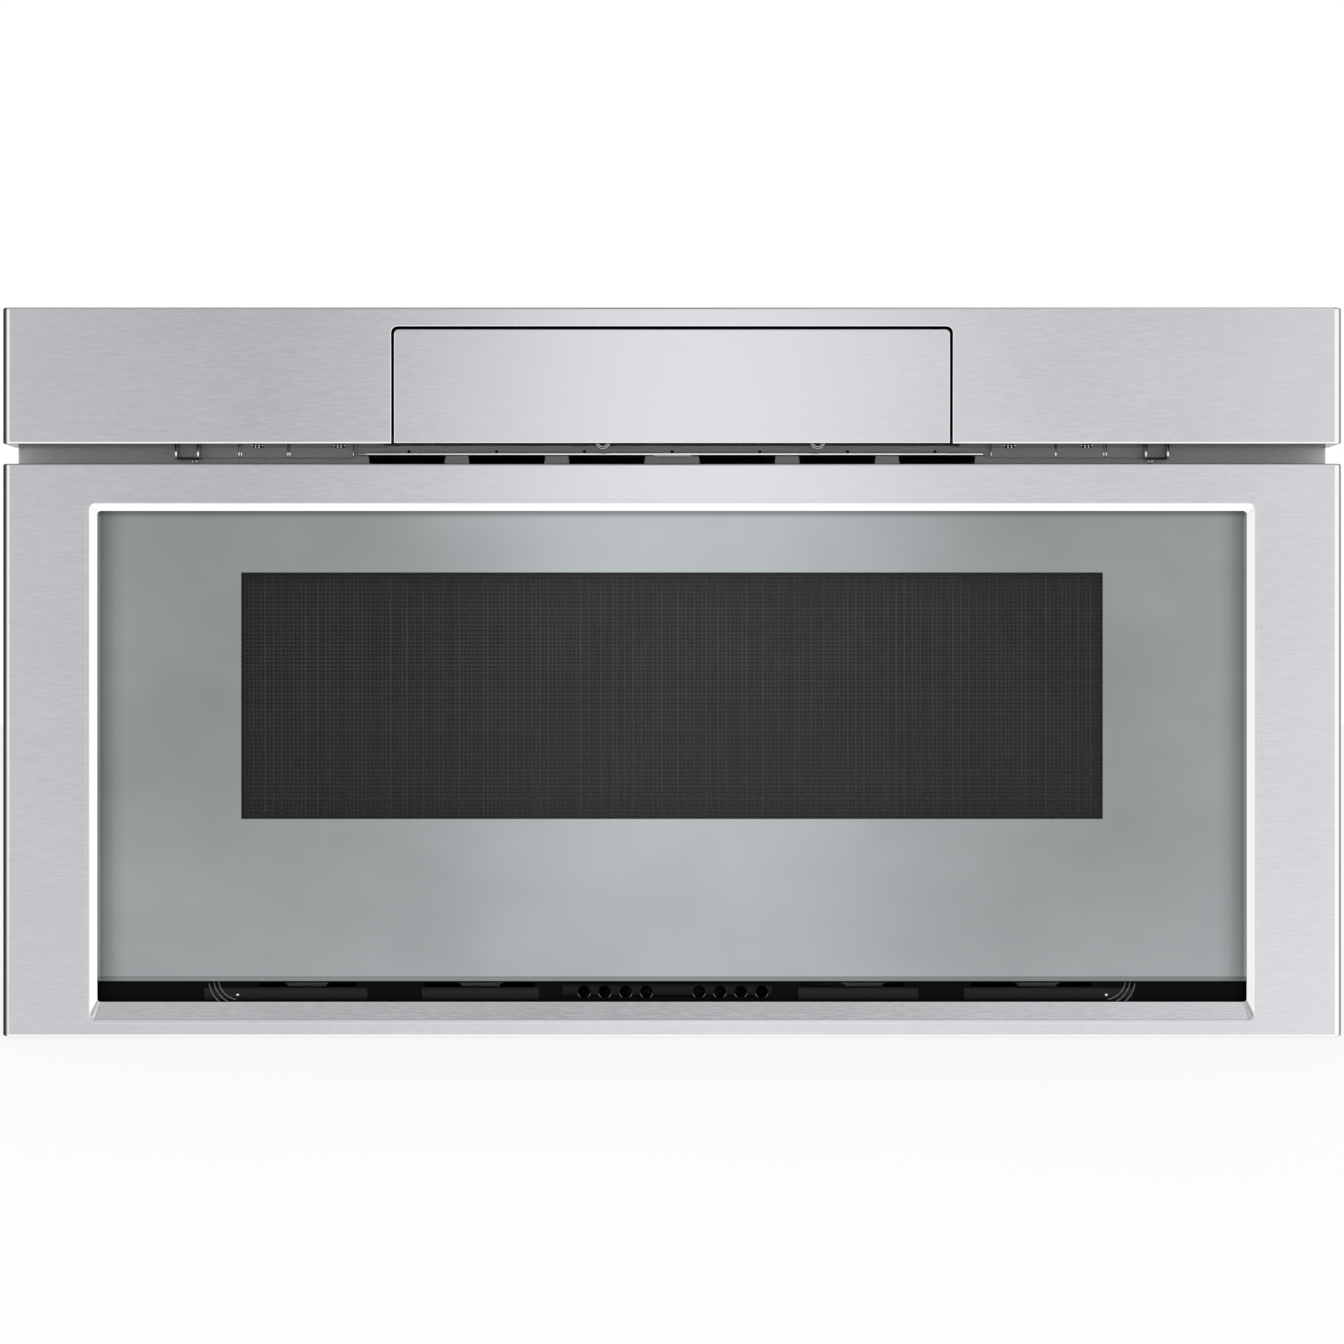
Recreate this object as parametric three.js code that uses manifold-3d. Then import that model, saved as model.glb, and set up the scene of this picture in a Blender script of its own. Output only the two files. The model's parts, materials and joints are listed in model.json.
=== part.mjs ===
// A built-in microwave drawer: a powered tub on telescopic slides behind a glass front, under a
// fixed strip whose middle panel tips out at 45 degrees to show a touch glass.
//
// Millimetres, +Z up, +X to the right as seen from the front, which faces -Y.
// The origin is under the middle of the whole appliance, at the level of its skids.

import * as THREE from 'three';
import { mergeVertices } from 'three/addons/utils/BufferGeometryUtils.js';
import Module from 'manifold-3d';

const wasm = await Module();
wasm.setup();

// ---------------------------------------------------------------- driving sizes

const OVERALL_DEPTH = 594;        // face to the tip of the cord gland
const FACE_WIDTH = 758.8;         // 29 7/8 in, the width of both fronts
const FACE_LIFT = 2;              // underside of the drawer front above the skids
const DRAWER_FACE_HEIGHT = 324.3;
const FACE_GAP = 11.3;            // the vent gap between drawer front and strip
const STRIP_HEIGHT = 77.2;
const FRONT_DEPTH = 45;           // face to the back of the folded edges
const EDGE_RADIUS = 4.5;          // bend radius of the upright edges

const FIT = 0.3;                  // clearance between pieces fastened together
const SHEET = 1.2;                // stainless and galvanised sheet
const PLATE_SHEET = 1.5;          // front plate, base, slide and bracket steel
const FACE_STANDOFF = 0.5;        // fronts stand this far off the front plate

const PLATE_INSET = 2.4;          // front plate inside the fronts' outline
const PLATE_BOTTOM = 8;
const PLATE_TOP_INSET = 6.8;

const BODY_WIDTH = 710;           // fits a 28 1/8 in cut-out
const ROOF_BAY = 83;              // cavity to the top of the cover, which fits 14 13/16 in
const GLAND_PROUD = 7.5;
const SKID_HEIGHT = 3;
const SKID_WIDTH = 24;
const SKID_OFFSET = 320;          // skid centre line from the middle
const PAN_WALL = 12;

const CAVITY_WIDTH = 492;
const CAVITY_HEIGHT = 185;
const REAR_BAY = 107;             // behind the cavity, for the magnetron and its supply
const CAVITY_FLOOR = 103;
const CAVITY_WALL = 1;
const MOUTH_FLANGE = 14;

const TUB_SIDE_GAP = 8;
const TUB_LIFT = 3;
const TUB_HEIGHT = 160;
const TUB_REAR_GAP = 10;
const TUB_CORNER = 10;
const TUB_RIM = 4;
const TRAY_THICKNESS = 5;
const TRAY_INSET = 12;

const CHOKE_WIDTH = 25;
const CHOKE_GAP = 1;              // choke ring outside the cavity mouth
const CHOKE_CORNER = 12;

const DOOR_GAP = 10.5;            // front plate to the front of the door's inner panel
const INNER_WINDOW = 3;
const GLASS_THICKNESS = 5;
const BEZEL_DEPTH = 4.5;          // the glass sits this far behind the face
const OPENING_HALF_WIDTH = 330.1; // the frame's opening at the face
const OPENING_BOTTOM = 11.1;
const OPENING_TOP = 303.8;
const CHAMFER = 4.2;              // sides and top of the opening lean in by this
const SILL_RISE = 10.2;           // the bottom chamfer is a tall sill
const AIR_SLOT = 11.3;            // open below the glass, above the sill
const GLASS_OVERLAP = 6.3;        // glass edge behind the frame's lip
const WINDOW_HALF_WIDTH = 244.4;
const WINDOW_BOTTOM = 124.9;
const WINDOW_TOP = 264.8;

const SLIDE_Z = 130;              // centre line of the telescopic slides
const DRAWER_TRAVEL = 381;        // 15 in
const SLIDE_SPARE = 49;           // closed slide longer than its travel
const SLIDE_BALL = 0.4;           // running gap between slide members
const INNER_HALF_HEIGHT = 15.4;
const ARM_CLEARANCE = 12;         // drawer arm outside the choke ring
const ARM_HEIGHT = 44;
const ARM_ABOVE_SLIDE = 18;
const MIDDLE_WEB_OFFSET = 11;     // web to web, inner to middle member
const OUTER_WEB_OFFSET = 7.2;     // middle to outer member
const INNER_LIP = 9.7;
const MIDDLE_LIP = 6.25;
const OUTER_LIP = 12;
const SLIDE_SETBACK = 4.7;
const INNER_LEAD = 11;            // the inner member starts ahead of the outer one
const ARM_SHORT = 13;             // and ends short of it, with the drawer's arm

const GEAR_MODULE = 1.5;
const PRESSURE_ANGLE = THREE.MathUtils.degToRad(20);
const PINION_TEETH = 16;          // runs in the rack
const GEAR_TEETH = 36;            // on the pinion's shaft
const MOTOR_TEETH = 12;
const BACKLASH = 0.3;
const GEAR_WIDTH = 8;
const RACK_WIDTH = 7.5;
const RACK_BODY = 7.6;            // tooth roots to the rack's top
const RACK_DROP = 27.5;           // pitch line below the slides' centre line
const GEAR_CLEARANCE = 4.2;       // gear inboard of the rack
const CHEEK_GAP = 1.5;            // gears inside the bracket's cheeks
const PINION_SETBACK = 34.7;      // pinion's axis behind the front plate
const SHAFT_RADIUS = 3;
const SHAFT_CLEARANCE = 0.3;
const MOTOR_RADIUS = 21;
const MOTOR_LENGTH = 60;

const FLAP_HALF_WIDTH = 157.5;
const FLAP_HEIGHT = 64.6;
const FLAP_SEAM = 1.5;            // gap round the flap
const FLAP_CORNER = 3.5;
const PIVOT_BEHIND_FACE = 6;
const PIVOT_UP = 3.4;             // flap pivot above the strip's lower edge
const PIN_RADIUS = 2;

// ---------------------------------------------------------------- planes worked out from them

const FRONT_Y = -OVERALL_DEPTH / 2;
const FRONT_BACK_Y = FRONT_Y + FRONT_DEPTH;
const FACE_HALF = FACE_WIDTH / 2;
const DRAWER_Z = [FACE_LIFT, FACE_LIFT + DRAWER_FACE_HEIGHT];
const STRIP_Z = [DRAWER_Z[1] + FACE_GAP, DRAWER_Z[1] + FACE_GAP + STRIP_HEIGHT];

const PLATE_Y = [FRONT_BACK_Y + FACE_STANDOFF, FRONT_BACK_Y + FACE_STANDOFF + PLATE_SHEET];
const PLATE_HALF = FACE_HALF - PLATE_INSET;
const BODY_HALF = BODY_WIDTH / 2;
const BODY_FRONT_Y = PLATE_Y[1] + FIT;
const BACK_PANEL_Y = [-FRONT_Y - GLAND_PROUD - SHEET, -FRONT_Y - GLAND_PROUD];
const BODY_REAR_Y = BACK_PANEL_Y[0] - FIT;
const BASE_TOP = SKID_HEIGHT + PLATE_SHEET;
const SEAT_Z = BASE_TOP + FIT;

const CAVITY_HALF = CAVITY_WIDTH / 2;
const CAVITY_OUTER_HALF = CAVITY_HALF + CAVITY_WALL;
const CAVITY_CEILING = CAVITY_FLOOR + CAVITY_HEIGHT;
const CAVITY_Z = [CAVITY_FLOOR - CAVITY_WALL, CAVITY_CEILING + CAVITY_WALL];
const CAVITY_BACK = BODY_REAR_Y - REAR_BAY;
const CAVITY_REAR = CAVITY_BACK - CAVITY_WALL;
const BODY_HEIGHT = CAVITY_Z[1] + ROOF_BAY;

const CHOKE_HALF = CAVITY_HALF + CHOKE_GAP;
const CHOKE_OUTER_HALF = CHOKE_HALF + CHOKE_WIDTH;
const CHOKE_Z = [CAVITY_FLOOR - CHOKE_GAP, CAVITY_CEILING + CHOKE_GAP];

const INNER_PANEL_Y = [PLATE_Y[0] - DOOR_GAP, PLATE_Y[0] - DOOR_GAP + SHEET];
const DOOR_REAR = INNER_PANEL_Y[1] + FIT;
const GLASS_Y = [FRONT_Y + BEZEL_DEPTH + FIT, FRONT_Y + BEZEL_DEPTH + FIT + GLASS_THICKNESS];
const SLOT_BOTTOM = OPENING_BOTTOM + SILL_RISE;
const GLASS_Z = [SLOT_BOTTOM + AIR_SLOT, OPENING_TOP - CHAMFER + GLASS_OVERLAP];
const GLASS_HALF = OPENING_HALF_WIDTH - CHAMFER + GLASS_OVERLAP;

const TUB_FRONT = DOOR_REAR + INNER_WINDOW + FIT;
const TUB_HALF = CAVITY_HALF - TUB_SIDE_GAP;
const TUB_FLOOR = CAVITY_FLOOR + TUB_LIFT;
const TUB_REAR = CAVITY_REAR - TUB_REAR_GAP;

const ARM_X = [CHOKE_OUTER_HALF + ARM_CLEARANCE, CHOKE_OUTER_HALF + ARM_CLEARANCE + PLATE_SHEET];
const ARM_Z = [SLIDE_Z + ARM_ABOVE_SLIDE - ARM_HEIGHT, SLIDE_Z + ARM_ABOVE_SLIDE];
const SLIDE_INNER_X = ARM_X[1] + FIT;
const SLIDE_MIDDLE_X = SLIDE_INNER_X + MIDDLE_WEB_OFFSET;
const SLIDE_OUTER_X = SLIDE_MIDDLE_X + OUTER_WEB_OFFSET;
const SLIDE_LENGTH = DRAWER_TRAVEL + SLIDE_SPARE;
const MIDDLE_HALF_HEIGHT = INNER_HALF_HEIGHT + SLIDE_BALL + SHEET;
const OUTER_HALF_HEIGHT = MIDDLE_HALF_HEIGHT + SLIDE_BALL + PLATE_SHEET;
const SLIDE_FRONT = BODY_FRONT_Y + SLIDE_SETBACK;
const SLIDE_REAR = SLIDE_FRONT + SLIDE_LENGTH;
const ARM_REAR = SLIDE_REAR - ARM_SHORT;
const SUPPORT_X = SLIDE_OUTER_X + PLATE_SHEET + FIT;

const RACK_X = [ARM_X[0] - FIT - RACK_WIDTH, ARM_X[0] - FIT];
const RACK_PITCH_Z = SLIDE_Z - RACK_DROP;
const ADDENDUM = 0.9 * GEAR_MODULE;
const DEDENDUM = 1.2 * GEAR_MODULE;
const MESH_EASE = 0.1;            // centres stand this far past the pitch circles' touch
const PINION_Z = RACK_PITCH_Z - GEAR_MODULE * PINION_TEETH / 2 - MESH_EASE;
const MOTOR_Z = PINION_Z - GEAR_MODULE * (GEAR_TEETH + MOTOR_TEETH) / 2 - MESH_EASE;
const GEAR_X = [RACK_X[0] - GEAR_CLEARANCE - GEAR_WIDTH, RACK_X[0] - GEAR_CLEARANCE];
const BRACKET_INNER_X = [GEAR_X[0] - CHEEK_GAP - PLATE_SHEET, GEAR_X[0] - CHEEK_GAP];
const BRACKET_OUTER_X = [ARM_X[1] + CHEEK_GAP + 1, ARM_X[1] + CHEEK_GAP + 1 + PLATE_SHEET];
const BORE_RADIUS = SHAFT_RADIUS + SHAFT_CLEARANCE;
const PINION_Y = BODY_FRONT_Y + PINION_SETBACK;

const PIVOT_Y = FRONT_Y + PIVOT_BEHIND_FACE;
const PIVOT_Z = STRIP_Z[0] + PIVOT_UP;
const FLAP_OPENING_HALF = FLAP_HALF_WIDTH + FLAP_SEAM;
const FLAP_FOOT = STRIP_Z[0] + FIT;
const FLAP_TOP = FLAP_FOOT + FLAP_HEIGHT;

// ---------------------------------------------------------------- outlines and solids

const X = new THREE.Vector3(1, 0, 0);
const Y = new THREE.Vector3(0, 1, 0);
const Z = new THREE.Vector3(0, 0, 1);

// An outline is drawn in the two axes across the extrusion: y,z for 'x', x,z for 'y', x,y for 'z'.
const FRAMES = {
  x: new THREE.Matrix4().makeBasis(Y, Z, X),
  y: new THREE.Matrix4().makeBasis(X, Z, Y.clone().negate()),
  z: new THREE.Matrix4(),
};

const span = (half, centre = 0) => [centre - half, centre + half];
const inset = ([low, high], by) => [low + by, high - by];

function rect([u0, u1], [v0, v1]) {
  return [[u0, v0], [u1, v0], [u1, v1], [u0, v1]];
}

function arc(u, v, radius, fromDeg, toDeg, steps) {
  const from = THREE.MathUtils.degToRad(fromDeg);
  const turn = THREE.MathUtils.degToRad(toDeg) - from;
  return Array.from({ length: steps + 1 }, (_, i) => {
    const angle = from + turn * i / steps;
    return [u + radius * Math.cos(angle), v + radius * Math.sin(angle)];
  });
}

function circle(u, v, radius, steps = 16) {
  return arc(u, v, radius, 0, 360, steps).slice(0, steps);
}

// A rectangle with a radius for each corner, from the lower left round to the upper left.
function roundRect([u0, u1], [v0, v1], radii, steps = 4) {
  const [a, b, c, d] = typeof radii === 'number' ? [radii, radii, radii, radii] : radii;
  const corner = (u, v, r, from) => (r > 0 ? arc(u, v, r, from, from + 90, steps) : [[u, v]]);
  return [
    ...corner(u0 + a, v0 + a, a, 180),
    ...corner(u1 - b, v0 + b, b, 270),
    ...corner(u1 - c, v1 - c, c, 0),
    ...corner(u0 + d, v1 - d, d, 90),
  ];
}

function toSolid(geometry) {
  const plain = geometry.clone();
  plain.deleteAttribute('normal');
  plain.deleteAttribute('uv');
  const merged = mergeVertices(plain, 1e-4);
  return new wasm.Manifold(new wasm.Mesh({
    numProp: 3,
    vertProperties: new Float32Array(merged.attributes.position.array),
    triVerts: new Uint32Array(merged.index.array),
  }));
}

function toGeometry(solid) {
  const mesh = solid.getMesh();
  const geometry = new THREE.BufferGeometry();
  geometry.setAttribute('position', new THREE.BufferAttribute(mesh.vertProperties, 3));
  geometry.setIndex(new THREE.BufferAttribute(mesh.triVerts, 1));
  geometry.computeVertexNormals();
  return geometry;
}

// Extrudes an outline between two planes square to an axis, then cuts its holes right through.
function prism(axis, outline, [from, to], holes = []) {
  const shape = new THREE.Shape(outline.map(([u, v]) => new THREE.Vector2(u, v)));
  const geometry = new THREE.ExtrudeGeometry(shape, { depth: to - from, bevelEnabled: false });
  geometry.translate(0, 0, axis === 'y' ? -to : from);
  const solid = toSolid(geometry.applyMatrix4(FRAMES[axis]));
  return holes.reduce((rest, hole) => rest.subtract(prism(axis, hole, [from - 1, to + 1])), solid);
}

function box(xs, ys, zs) {
  return prism('z', rect(xs, ys), zs);
}

function rod(axis, [u, v], radius, along, steps = 16) {
  return prism(axis, circle(u, v, radius, steps), along);
}

// A turned piece: profile points are [radius, height] from the bottom up, closed on the axis.
function turned(profile, steps = 20) {
  const points = profile.map(([radius, height]) => new THREE.Vector2(radius, height));
  const geometry = new THREE.LatheGeometry(points, steps);
  return toSolid(geometry.rotateX(Math.PI / 2));
}

const join = (...solids) => solids.reduce((whole, piece) => whole.add(piece));
const cut = (solid, ...tools) => tools.reduce((rest, tool) => rest.subtract(tool), solid);

// A four-sided taper between two rectangles in planes square to Y, for a chamfered opening.
function taperY(front, frontY, back, backY) {
  const corners = [...rect(...front).map(([x, z]) => [x, frontY, z]),
    ...rect(...back).map(([x, z]) => [x, backY, z])];
  const quads = [[0, 1, 2, 3], [5, 4, 7, 6], [4, 5, 1, 0], [5, 6, 2, 1], [6, 7, 3, 2], [7, 4, 0, 3]];
  const geometry = new THREE.BufferGeometry();
  geometry.setAttribute('position', new THREE.Float32BufferAttribute(corners.flat(), 3));
  geometry.setIndex(quads.flatMap(([a, b, c, d]) => [a, b, c, a, c, d]));
  return toSolid(geometry);
}

function mirroredX(geometry) {
  const flipped = geometry.clone().scale(-1, 1, 1);
  const index = flipped.index.array;
  for (let i = 0; i < index.length; i += 3) {
    [index[i], index[i + 1]] = [index[i + 1], index[i]];
  }
  flipped.computeVertexNormals();
  return flipped;
}

// ---------------------------------------------------------------- gears

const involute = (angle) => Math.tan(angle) - angle;

// Outline of a spur gear about its axis, with one tooth centred on firstTooth (degrees).
function gearOutline(teeth, firstTooth, flankSteps) {
  const pitchRadius = GEAR_MODULE * teeth / 2;
  const baseRadius = pitchRadius * Math.cos(PRESSURE_ANGLE);
  const tipRadius = pitchRadius + ADDENDUM;
  const rootRadius = pitchRadius - DEDENDUM;
  const thickness = Math.PI * GEAR_MODULE / 2 - BACKLASH / 2;
  const halfAngle = (radius) => {
    const pressure = radius > baseRadius ? Math.acos(baseRadius / radius) : 0;
    return thickness / (2 * pitchRadius) + involute(PRESSURE_ANGLE) - involute(pressure);
  };
  const start = Math.max(baseRadius, rootRadius);
  const flank = Array.from({ length: flankSteps + 1 }, (_, i) => {
    const radius = start + (tipRadius - start) * i / flankSteps;
    return [radius, halfAngle(radius)];
  });
  if (rootRadius < start) flank.unshift([rootRadius, halfAngle(start)]);
  const polar = (radius, angle) => [radius * Math.cos(angle), radius * Math.sin(angle)];
  return Array.from({ length: teeth }, (_, tooth) => {
    const centre = THREE.MathUtils.degToRad(firstTooth) + 2 * Math.PI * tooth / teeth;
    return [
      ...flank.map(([radius, half]) => polar(radius, centre - half)),
      ...flank.toReversed().map(([radius, half]) => polar(radius, centre + half)),
    ];
  }).flat();
}

// Teeth of the rack point down; one is centred over the pinion.
function rackOutline([front, rear], pitchZ, topZ) {
  const pitch = Math.PI * GEAR_MODULE;
  const halfTooth = pitch / 4 - BACKLASH / 4;
  const lean = Math.tan(PRESSURE_ANGLE);
  const tip = halfTooth - ADDENDUM * lean;
  const root = halfTooth + DEDENDUM * lean;
  const first = Math.ceil((front + root - PINION_Y) / pitch);
  const last = Math.floor((rear - root - PINION_Y) / pitch);
  const teeth = Array.from({ length: last - first + 1 }, (_, i) => {
    const y = PINION_Y + (first + i) * pitch;
    return [
      [y - root, pitchZ + DEDENDUM], [y - tip, pitchZ - ADDENDUM],
      [y + tip, pitchZ - ADDENDUM], [y + root, pitchZ + DEDENDUM],
    ];
  }).flat();
  return [[front, pitchZ + DEDENDUM], ...teeth, [rear, pitchZ + DEDENDUM], [rear, topZ], [front, topZ]];
}

// ---------------------------------------------------------------- chassis

const VENT_TOP = DRAWER_Z[1] + 6.7; // exhaust vents in the front plate, wider at the top
const VENT_HEIGHT = 16;
const VENT_WIDTH = 44.3;
const VENT_LEAN = 2.2;
const VENT_CENTRES = [37.6, 95.3, 152.9];
const VENT_FOOT = VENT_TOP - VENT_HEIGHT;
const INTAKE_Z = [14, 30];
const INTAKE_HALF = 40;
const INTAKE_CENTRES = [60, 160, 260];
const HOOK_OFFSET = 10.5;         // switch hooks outside the slides
const HOOK_X = [SLIDE_OUTER_X + HOOK_OFFSET, SLIDE_OUTER_X + HOOK_OFFSET + SHEET];
const HOOK_Z = [196, 206];
const HOOK_LENGTH = 24.5;
const SLOT_CLEARANCE = 3;         // round the slides, rack and hooks in the front plate
const CABINET_SCREW_X = PLATE_HALF - 11;
const CABINET_SCREWS_Z = [70, 345];
const CABINET_SCREW_RADIUS = 2.5;

function facePlate() {
  const sides = [-1, 1];
  const across = (side, xs) => (side > 0 ? xs : [-xs[1], -xs[0]]);
  const slot = (side) => rect(
    across(side, [RACK_X[0] - SLOT_CLEARANCE, SLIDE_OUTER_X + SLOT_CLEARANCE]),
    [RACK_PITCH_Z - ADDENDUM - SLOT_CLEARANCE, SLIDE_Z + OUTER_HALF_HEIGHT + SLOT_CLEARANCE],
  );
  const vent = (centre) => [
    [centre - VENT_WIDTH / 2 + VENT_LEAN, VENT_FOOT], [centre + VENT_WIDTH / 2 - VENT_LEAN, VENT_FOOT],
    [centre + VENT_WIDTH / 2, VENT_TOP], [centre - VENT_WIDTH / 2, VENT_TOP],
  ];
  const holes = sides.flatMap((side) => [
    slot(side),
    rect(across(side, inset(HOOK_X, -SLOT_CLEARANCE)), inset(HOOK_Z, -SLOT_CLEARANCE)),
    ...VENT_CENTRES.map((centre) => vent(side * centre)),
    ...INTAKE_CENTRES.map((centre) => roundRect(span(INTAKE_HALF, side * centre), INTAKE_Z, 4, 2)),
    ...CABINET_SCREWS_Z.map((z) => circle(side * CABINET_SCREW_X, z, CABINET_SCREW_RADIUS, 8)),
  ]);
  holes.push(rect(span(CAVITY_HALF), [CAVITY_FLOOR, CAVITY_CEILING]));
  const plate = rect(span(PLATE_HALF), [PLATE_BOTTOM, STRIP_Z[1] - PLATE_TOP_INSET]);
  return prism('y', plate, PLATE_Y, holes);
}

function basePan() {
  const half = BODY_HALF - SHEET - 0.5;
  const outline = (by) => rect(span(half - by), inset([BODY_FRONT_Y, BODY_REAR_Y], by));
  const pan = cut(
    prism('z', outline(0), [SKID_HEIGHT, BASE_TOP + PAN_WALL]),
    prism('z', outline(PLATE_SHEET), [BASE_TOP, BASE_TOP + PAN_WALL + 1]),
  );
  const skid = (x) => prism('y', [
    [x - SKID_WIDTH / 2, SKID_HEIGHT + 0.5], [x - SKID_WIDTH / 2 + 4, 0],
    [x + SKID_WIDTH / 2 - 4, 0], [x + SKID_WIDTH / 2, SKID_HEIGHT + 0.5],
  ], [BODY_FRONT_Y + 20, BODY_REAR_Y - 20]);
  return join(pan, skid(-SKID_OFFSET), skid(SKID_OFFSET));
}

function caseCover() {
  const arch = rect(span(BODY_HALF), [SKID_HEIGHT + FIT, BODY_HEIGHT]);
  const hollow = rect(span(BODY_HALF - SHEET), [0, BODY_HEIGHT - SHEET]);
  const ys = [BODY_FRONT_Y, BODY_REAR_Y];
  return cut(prism('y', arch, ys), prism('y', hollow, inset(ys, -1)));
}

const GLAND_X = -BODY_HALF + 55;
const GLAND_Z = 46;
const GLAND_RADIUS = 11;
const CORD_BORE = 4.5;
const LOUVRE_HALF = 34;
const LOUVRE_PITCH = 14;

function backPanel() {
  const louvre = (x, z) => roundRect(span(LOUVRE_HALF, x), span(2.5, z), 2.4, 2);
  const bank = (xs, z, rows) => xs.flatMap((x) => (
    Array.from({ length: rows }, (_, row) => louvre(x, z + row * LOUVRE_PITCH))));
  const holes = [...bank([150, 240], FAN_Z - 2 * LOUVRE_PITCH, 5), ...bank([-60, 30, 120], 40, 3)];
  holes.push(circle(GLAND_X, GLAND_Z, GLAND_RADIUS + FIT, 16));
  return prism('y', rect(span(BODY_HALF), [SKID_HEIGHT + FIT, BODY_HEIGHT]), BACK_PANEL_Y, holes);
}

// The bushing the supply cord would leave by: a neck through the panel, with a flange each side.
function cordGland() {
  const flange = GLAND_RADIUS + 4;
  const inside = BACK_PANEL_Y[0] - FIT;
  const outside = BACK_PANEL_Y[1] + FIT;
  const disc = (radius, ys) => rod('y', [GLAND_X, GLAND_Z], radius, ys, 16);
  return cut(
    join(
      disc(flange, [inside - 3, inside]), disc(GLAND_RADIUS, [inside - 1, outside + 1]),
      disc(flange, [outside, outside + 2.5]), disc(GLAND_RADIUS - 2, [outside + 2, -FRONT_Y]),
    ),
    disc(CORD_BORE, [inside - 5, -FRONT_Y + 1]),
  );
}

const LAMP_FROM_REAR = 90;
const LAMP_DROP = 38;
const LAMP = { y: CAVITY_REAR - LAMP_FROM_REAR, z: CAVITY_CEILING - LAMP_DROP, radius: 9 };
const STIRRER_FROM_REAR = 150;
const STIRRER_Y = CAVITY_REAR - STIRRER_FROM_REAR;
const COUPLING_RADIUS = 34;       // where the waveguide opens into the ceiling

function ovenCavity() {
  const outer = span(CAVITY_OUTER_HALF);
  const shell = join(
    box(outer, [BODY_FRONT_Y, CAVITY_BACK], CAVITY_Z),
    box(span(CAVITY_OUTER_HALF + MOUTH_FLANGE), [BODY_FRONT_Y, BODY_FRONT_Y + SHEET],
      inset(CAVITY_Z, -MOUTH_FLANGE)),
  );
  return cut(
    shell,
    box(span(CAVITY_HALF), [BODY_FRONT_Y - 1, CAVITY_REAR], [CAVITY_FLOOR, CAVITY_CEILING]),
    rod('z', [0, STIRRER_Y], COUPLING_RADIUS, [CAVITY_CEILING - 1, CAVITY_CEILING + 3]),
    rod('x', [LAMP.y, LAMP.z], LAMP.radius, [CAVITY_HALF - 1, CAVITY_OUTER_HALF + 1], 12),
  );
}

const RAIL_X = 150;               // the Z-shaped rails that carry the cavity off the base
const RAIL_FOOT = 26;
const RAIL_HEAD = 20;
const RAIL_FROM_FRONT = 50;
const RAIL_FROM_REAR = 10;

function cavityRail() {
  const top = CAVITY_Z[0] - FIT;
  const outline = [
    [RAIL_X, SEAT_Z], [RAIL_X + RAIL_FOOT, SEAT_Z], [RAIL_X + RAIL_FOOT, SEAT_Z + SHEET],
    [RAIL_X + SHEET, SEAT_Z + SHEET], [RAIL_X + SHEET, top], [RAIL_X - RAIL_HEAD, top],
    [RAIL_X - RAIL_HEAD, top - SHEET], [RAIL_X, top - SHEET],
  ];
  const middle = (SEAT_Z + top) / 2;
  const lightening = [-130, -20, 90].map((y) => rod('x', [y, middle], 20, [RAIL_X - 2, RAIL_X + 4], 12));
  const ys = [BODY_FRONT_Y + RAIL_FROM_FRONT, CAVITY_REAR - RAIL_FROM_REAR];
  return cut(prism('y', outline, ys), ...lightening);
}

const COVER_DROP = 17;
const STIRRER_COVER_Z = CAVITY_CEILING - COVER_DROP;
const COVER_HALF = 150;
const COVER_REACH = 92;

function stirrerCover() {
  const ys = span(COVER_REACH, STIRRER_Y);
  const sheet = prism('z', roundRect(span(COVER_HALF), ys, 12, 3),
    [STIRRER_COVER_Z, STIRRER_COVER_Z + PLATE_SHEET]);
  const posts = [-1, 1].flatMap((side) => inset(ys, 16).map((y) => (
    rod('z', [side * (COVER_HALF - 18), y], 4, [STIRRER_COVER_Z + 1, CAVITY_CEILING - FIT], 8))));
  return join(sheet, ...posts);
}

const WAVEGUIDE_HALF = 45;
const WAVEGUIDE_HEIGHT = 40.7;
const MAGNETRON_SETBACK = 50;
const MAGNETRON_Y = CAVITY_BACK + MAGNETRON_SETBACK;
const WAVEGUIDE_Z = [CAVITY_Z[1] + FIT, CAVITY_Z[1] + FIT + WAVEGUIDE_HEIGHT];
const ANTENNA_RADIUS = 9;

function waveguide() {
  const ys = [STIRRER_Y - COUPLING_RADIUS - 8, MAGNETRON_Y + 34];
  return cut(
    box(span(WAVEGUIDE_HALF), ys, WAVEGUIDE_Z),
    box(span(WAVEGUIDE_HALF - SHEET), inset(ys, SHEET), inset(WAVEGUIDE_Z, SHEET)),
    rod('z', [0, STIRRER_Y], COUPLING_RADIUS, [WAVEGUIDE_Z[0] - 1, WAVEGUIDE_Z[0] + 3]),
    rod('z', [0, STIRRER_Y], BORE_RADIUS, [WAVEGUIDE_Z[1] - 3, WAVEGUIDE_Z[1] + 1], 10),
    rod('z', [0, MAGNETRON_Y], ANTENNA_RADIUS + FIT, [WAVEGUIDE_Z[0] - 1, WAVEGUIDE_Z[0] + 3]),
  );
}

const STIRRER_MOTOR_Z = WAVEGUIDE_Z[1] + FIT;

function stirrerMotor() {
  const can = join(
    rod('z', [0, STIRRER_Y], 24, [STIRRER_MOTOR_Z, STIRRER_MOTOR_Z + 18], 20),
    box(span(34), span(5, STIRRER_Y), [STIRRER_MOTOR_Z, STIRRER_MOTOR_Z + SHEET]),
  );
  const bore = [STIRRER_MOTOR_Z - 1, STIRRER_MOTOR_Z + 9];
  return cut(can, rod('z', [0, STIRRER_Y], BORE_RADIUS, bore, 10));
}

const MAGNETRON_HALF = 46;
const FIN_PITCH = 9;

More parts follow.
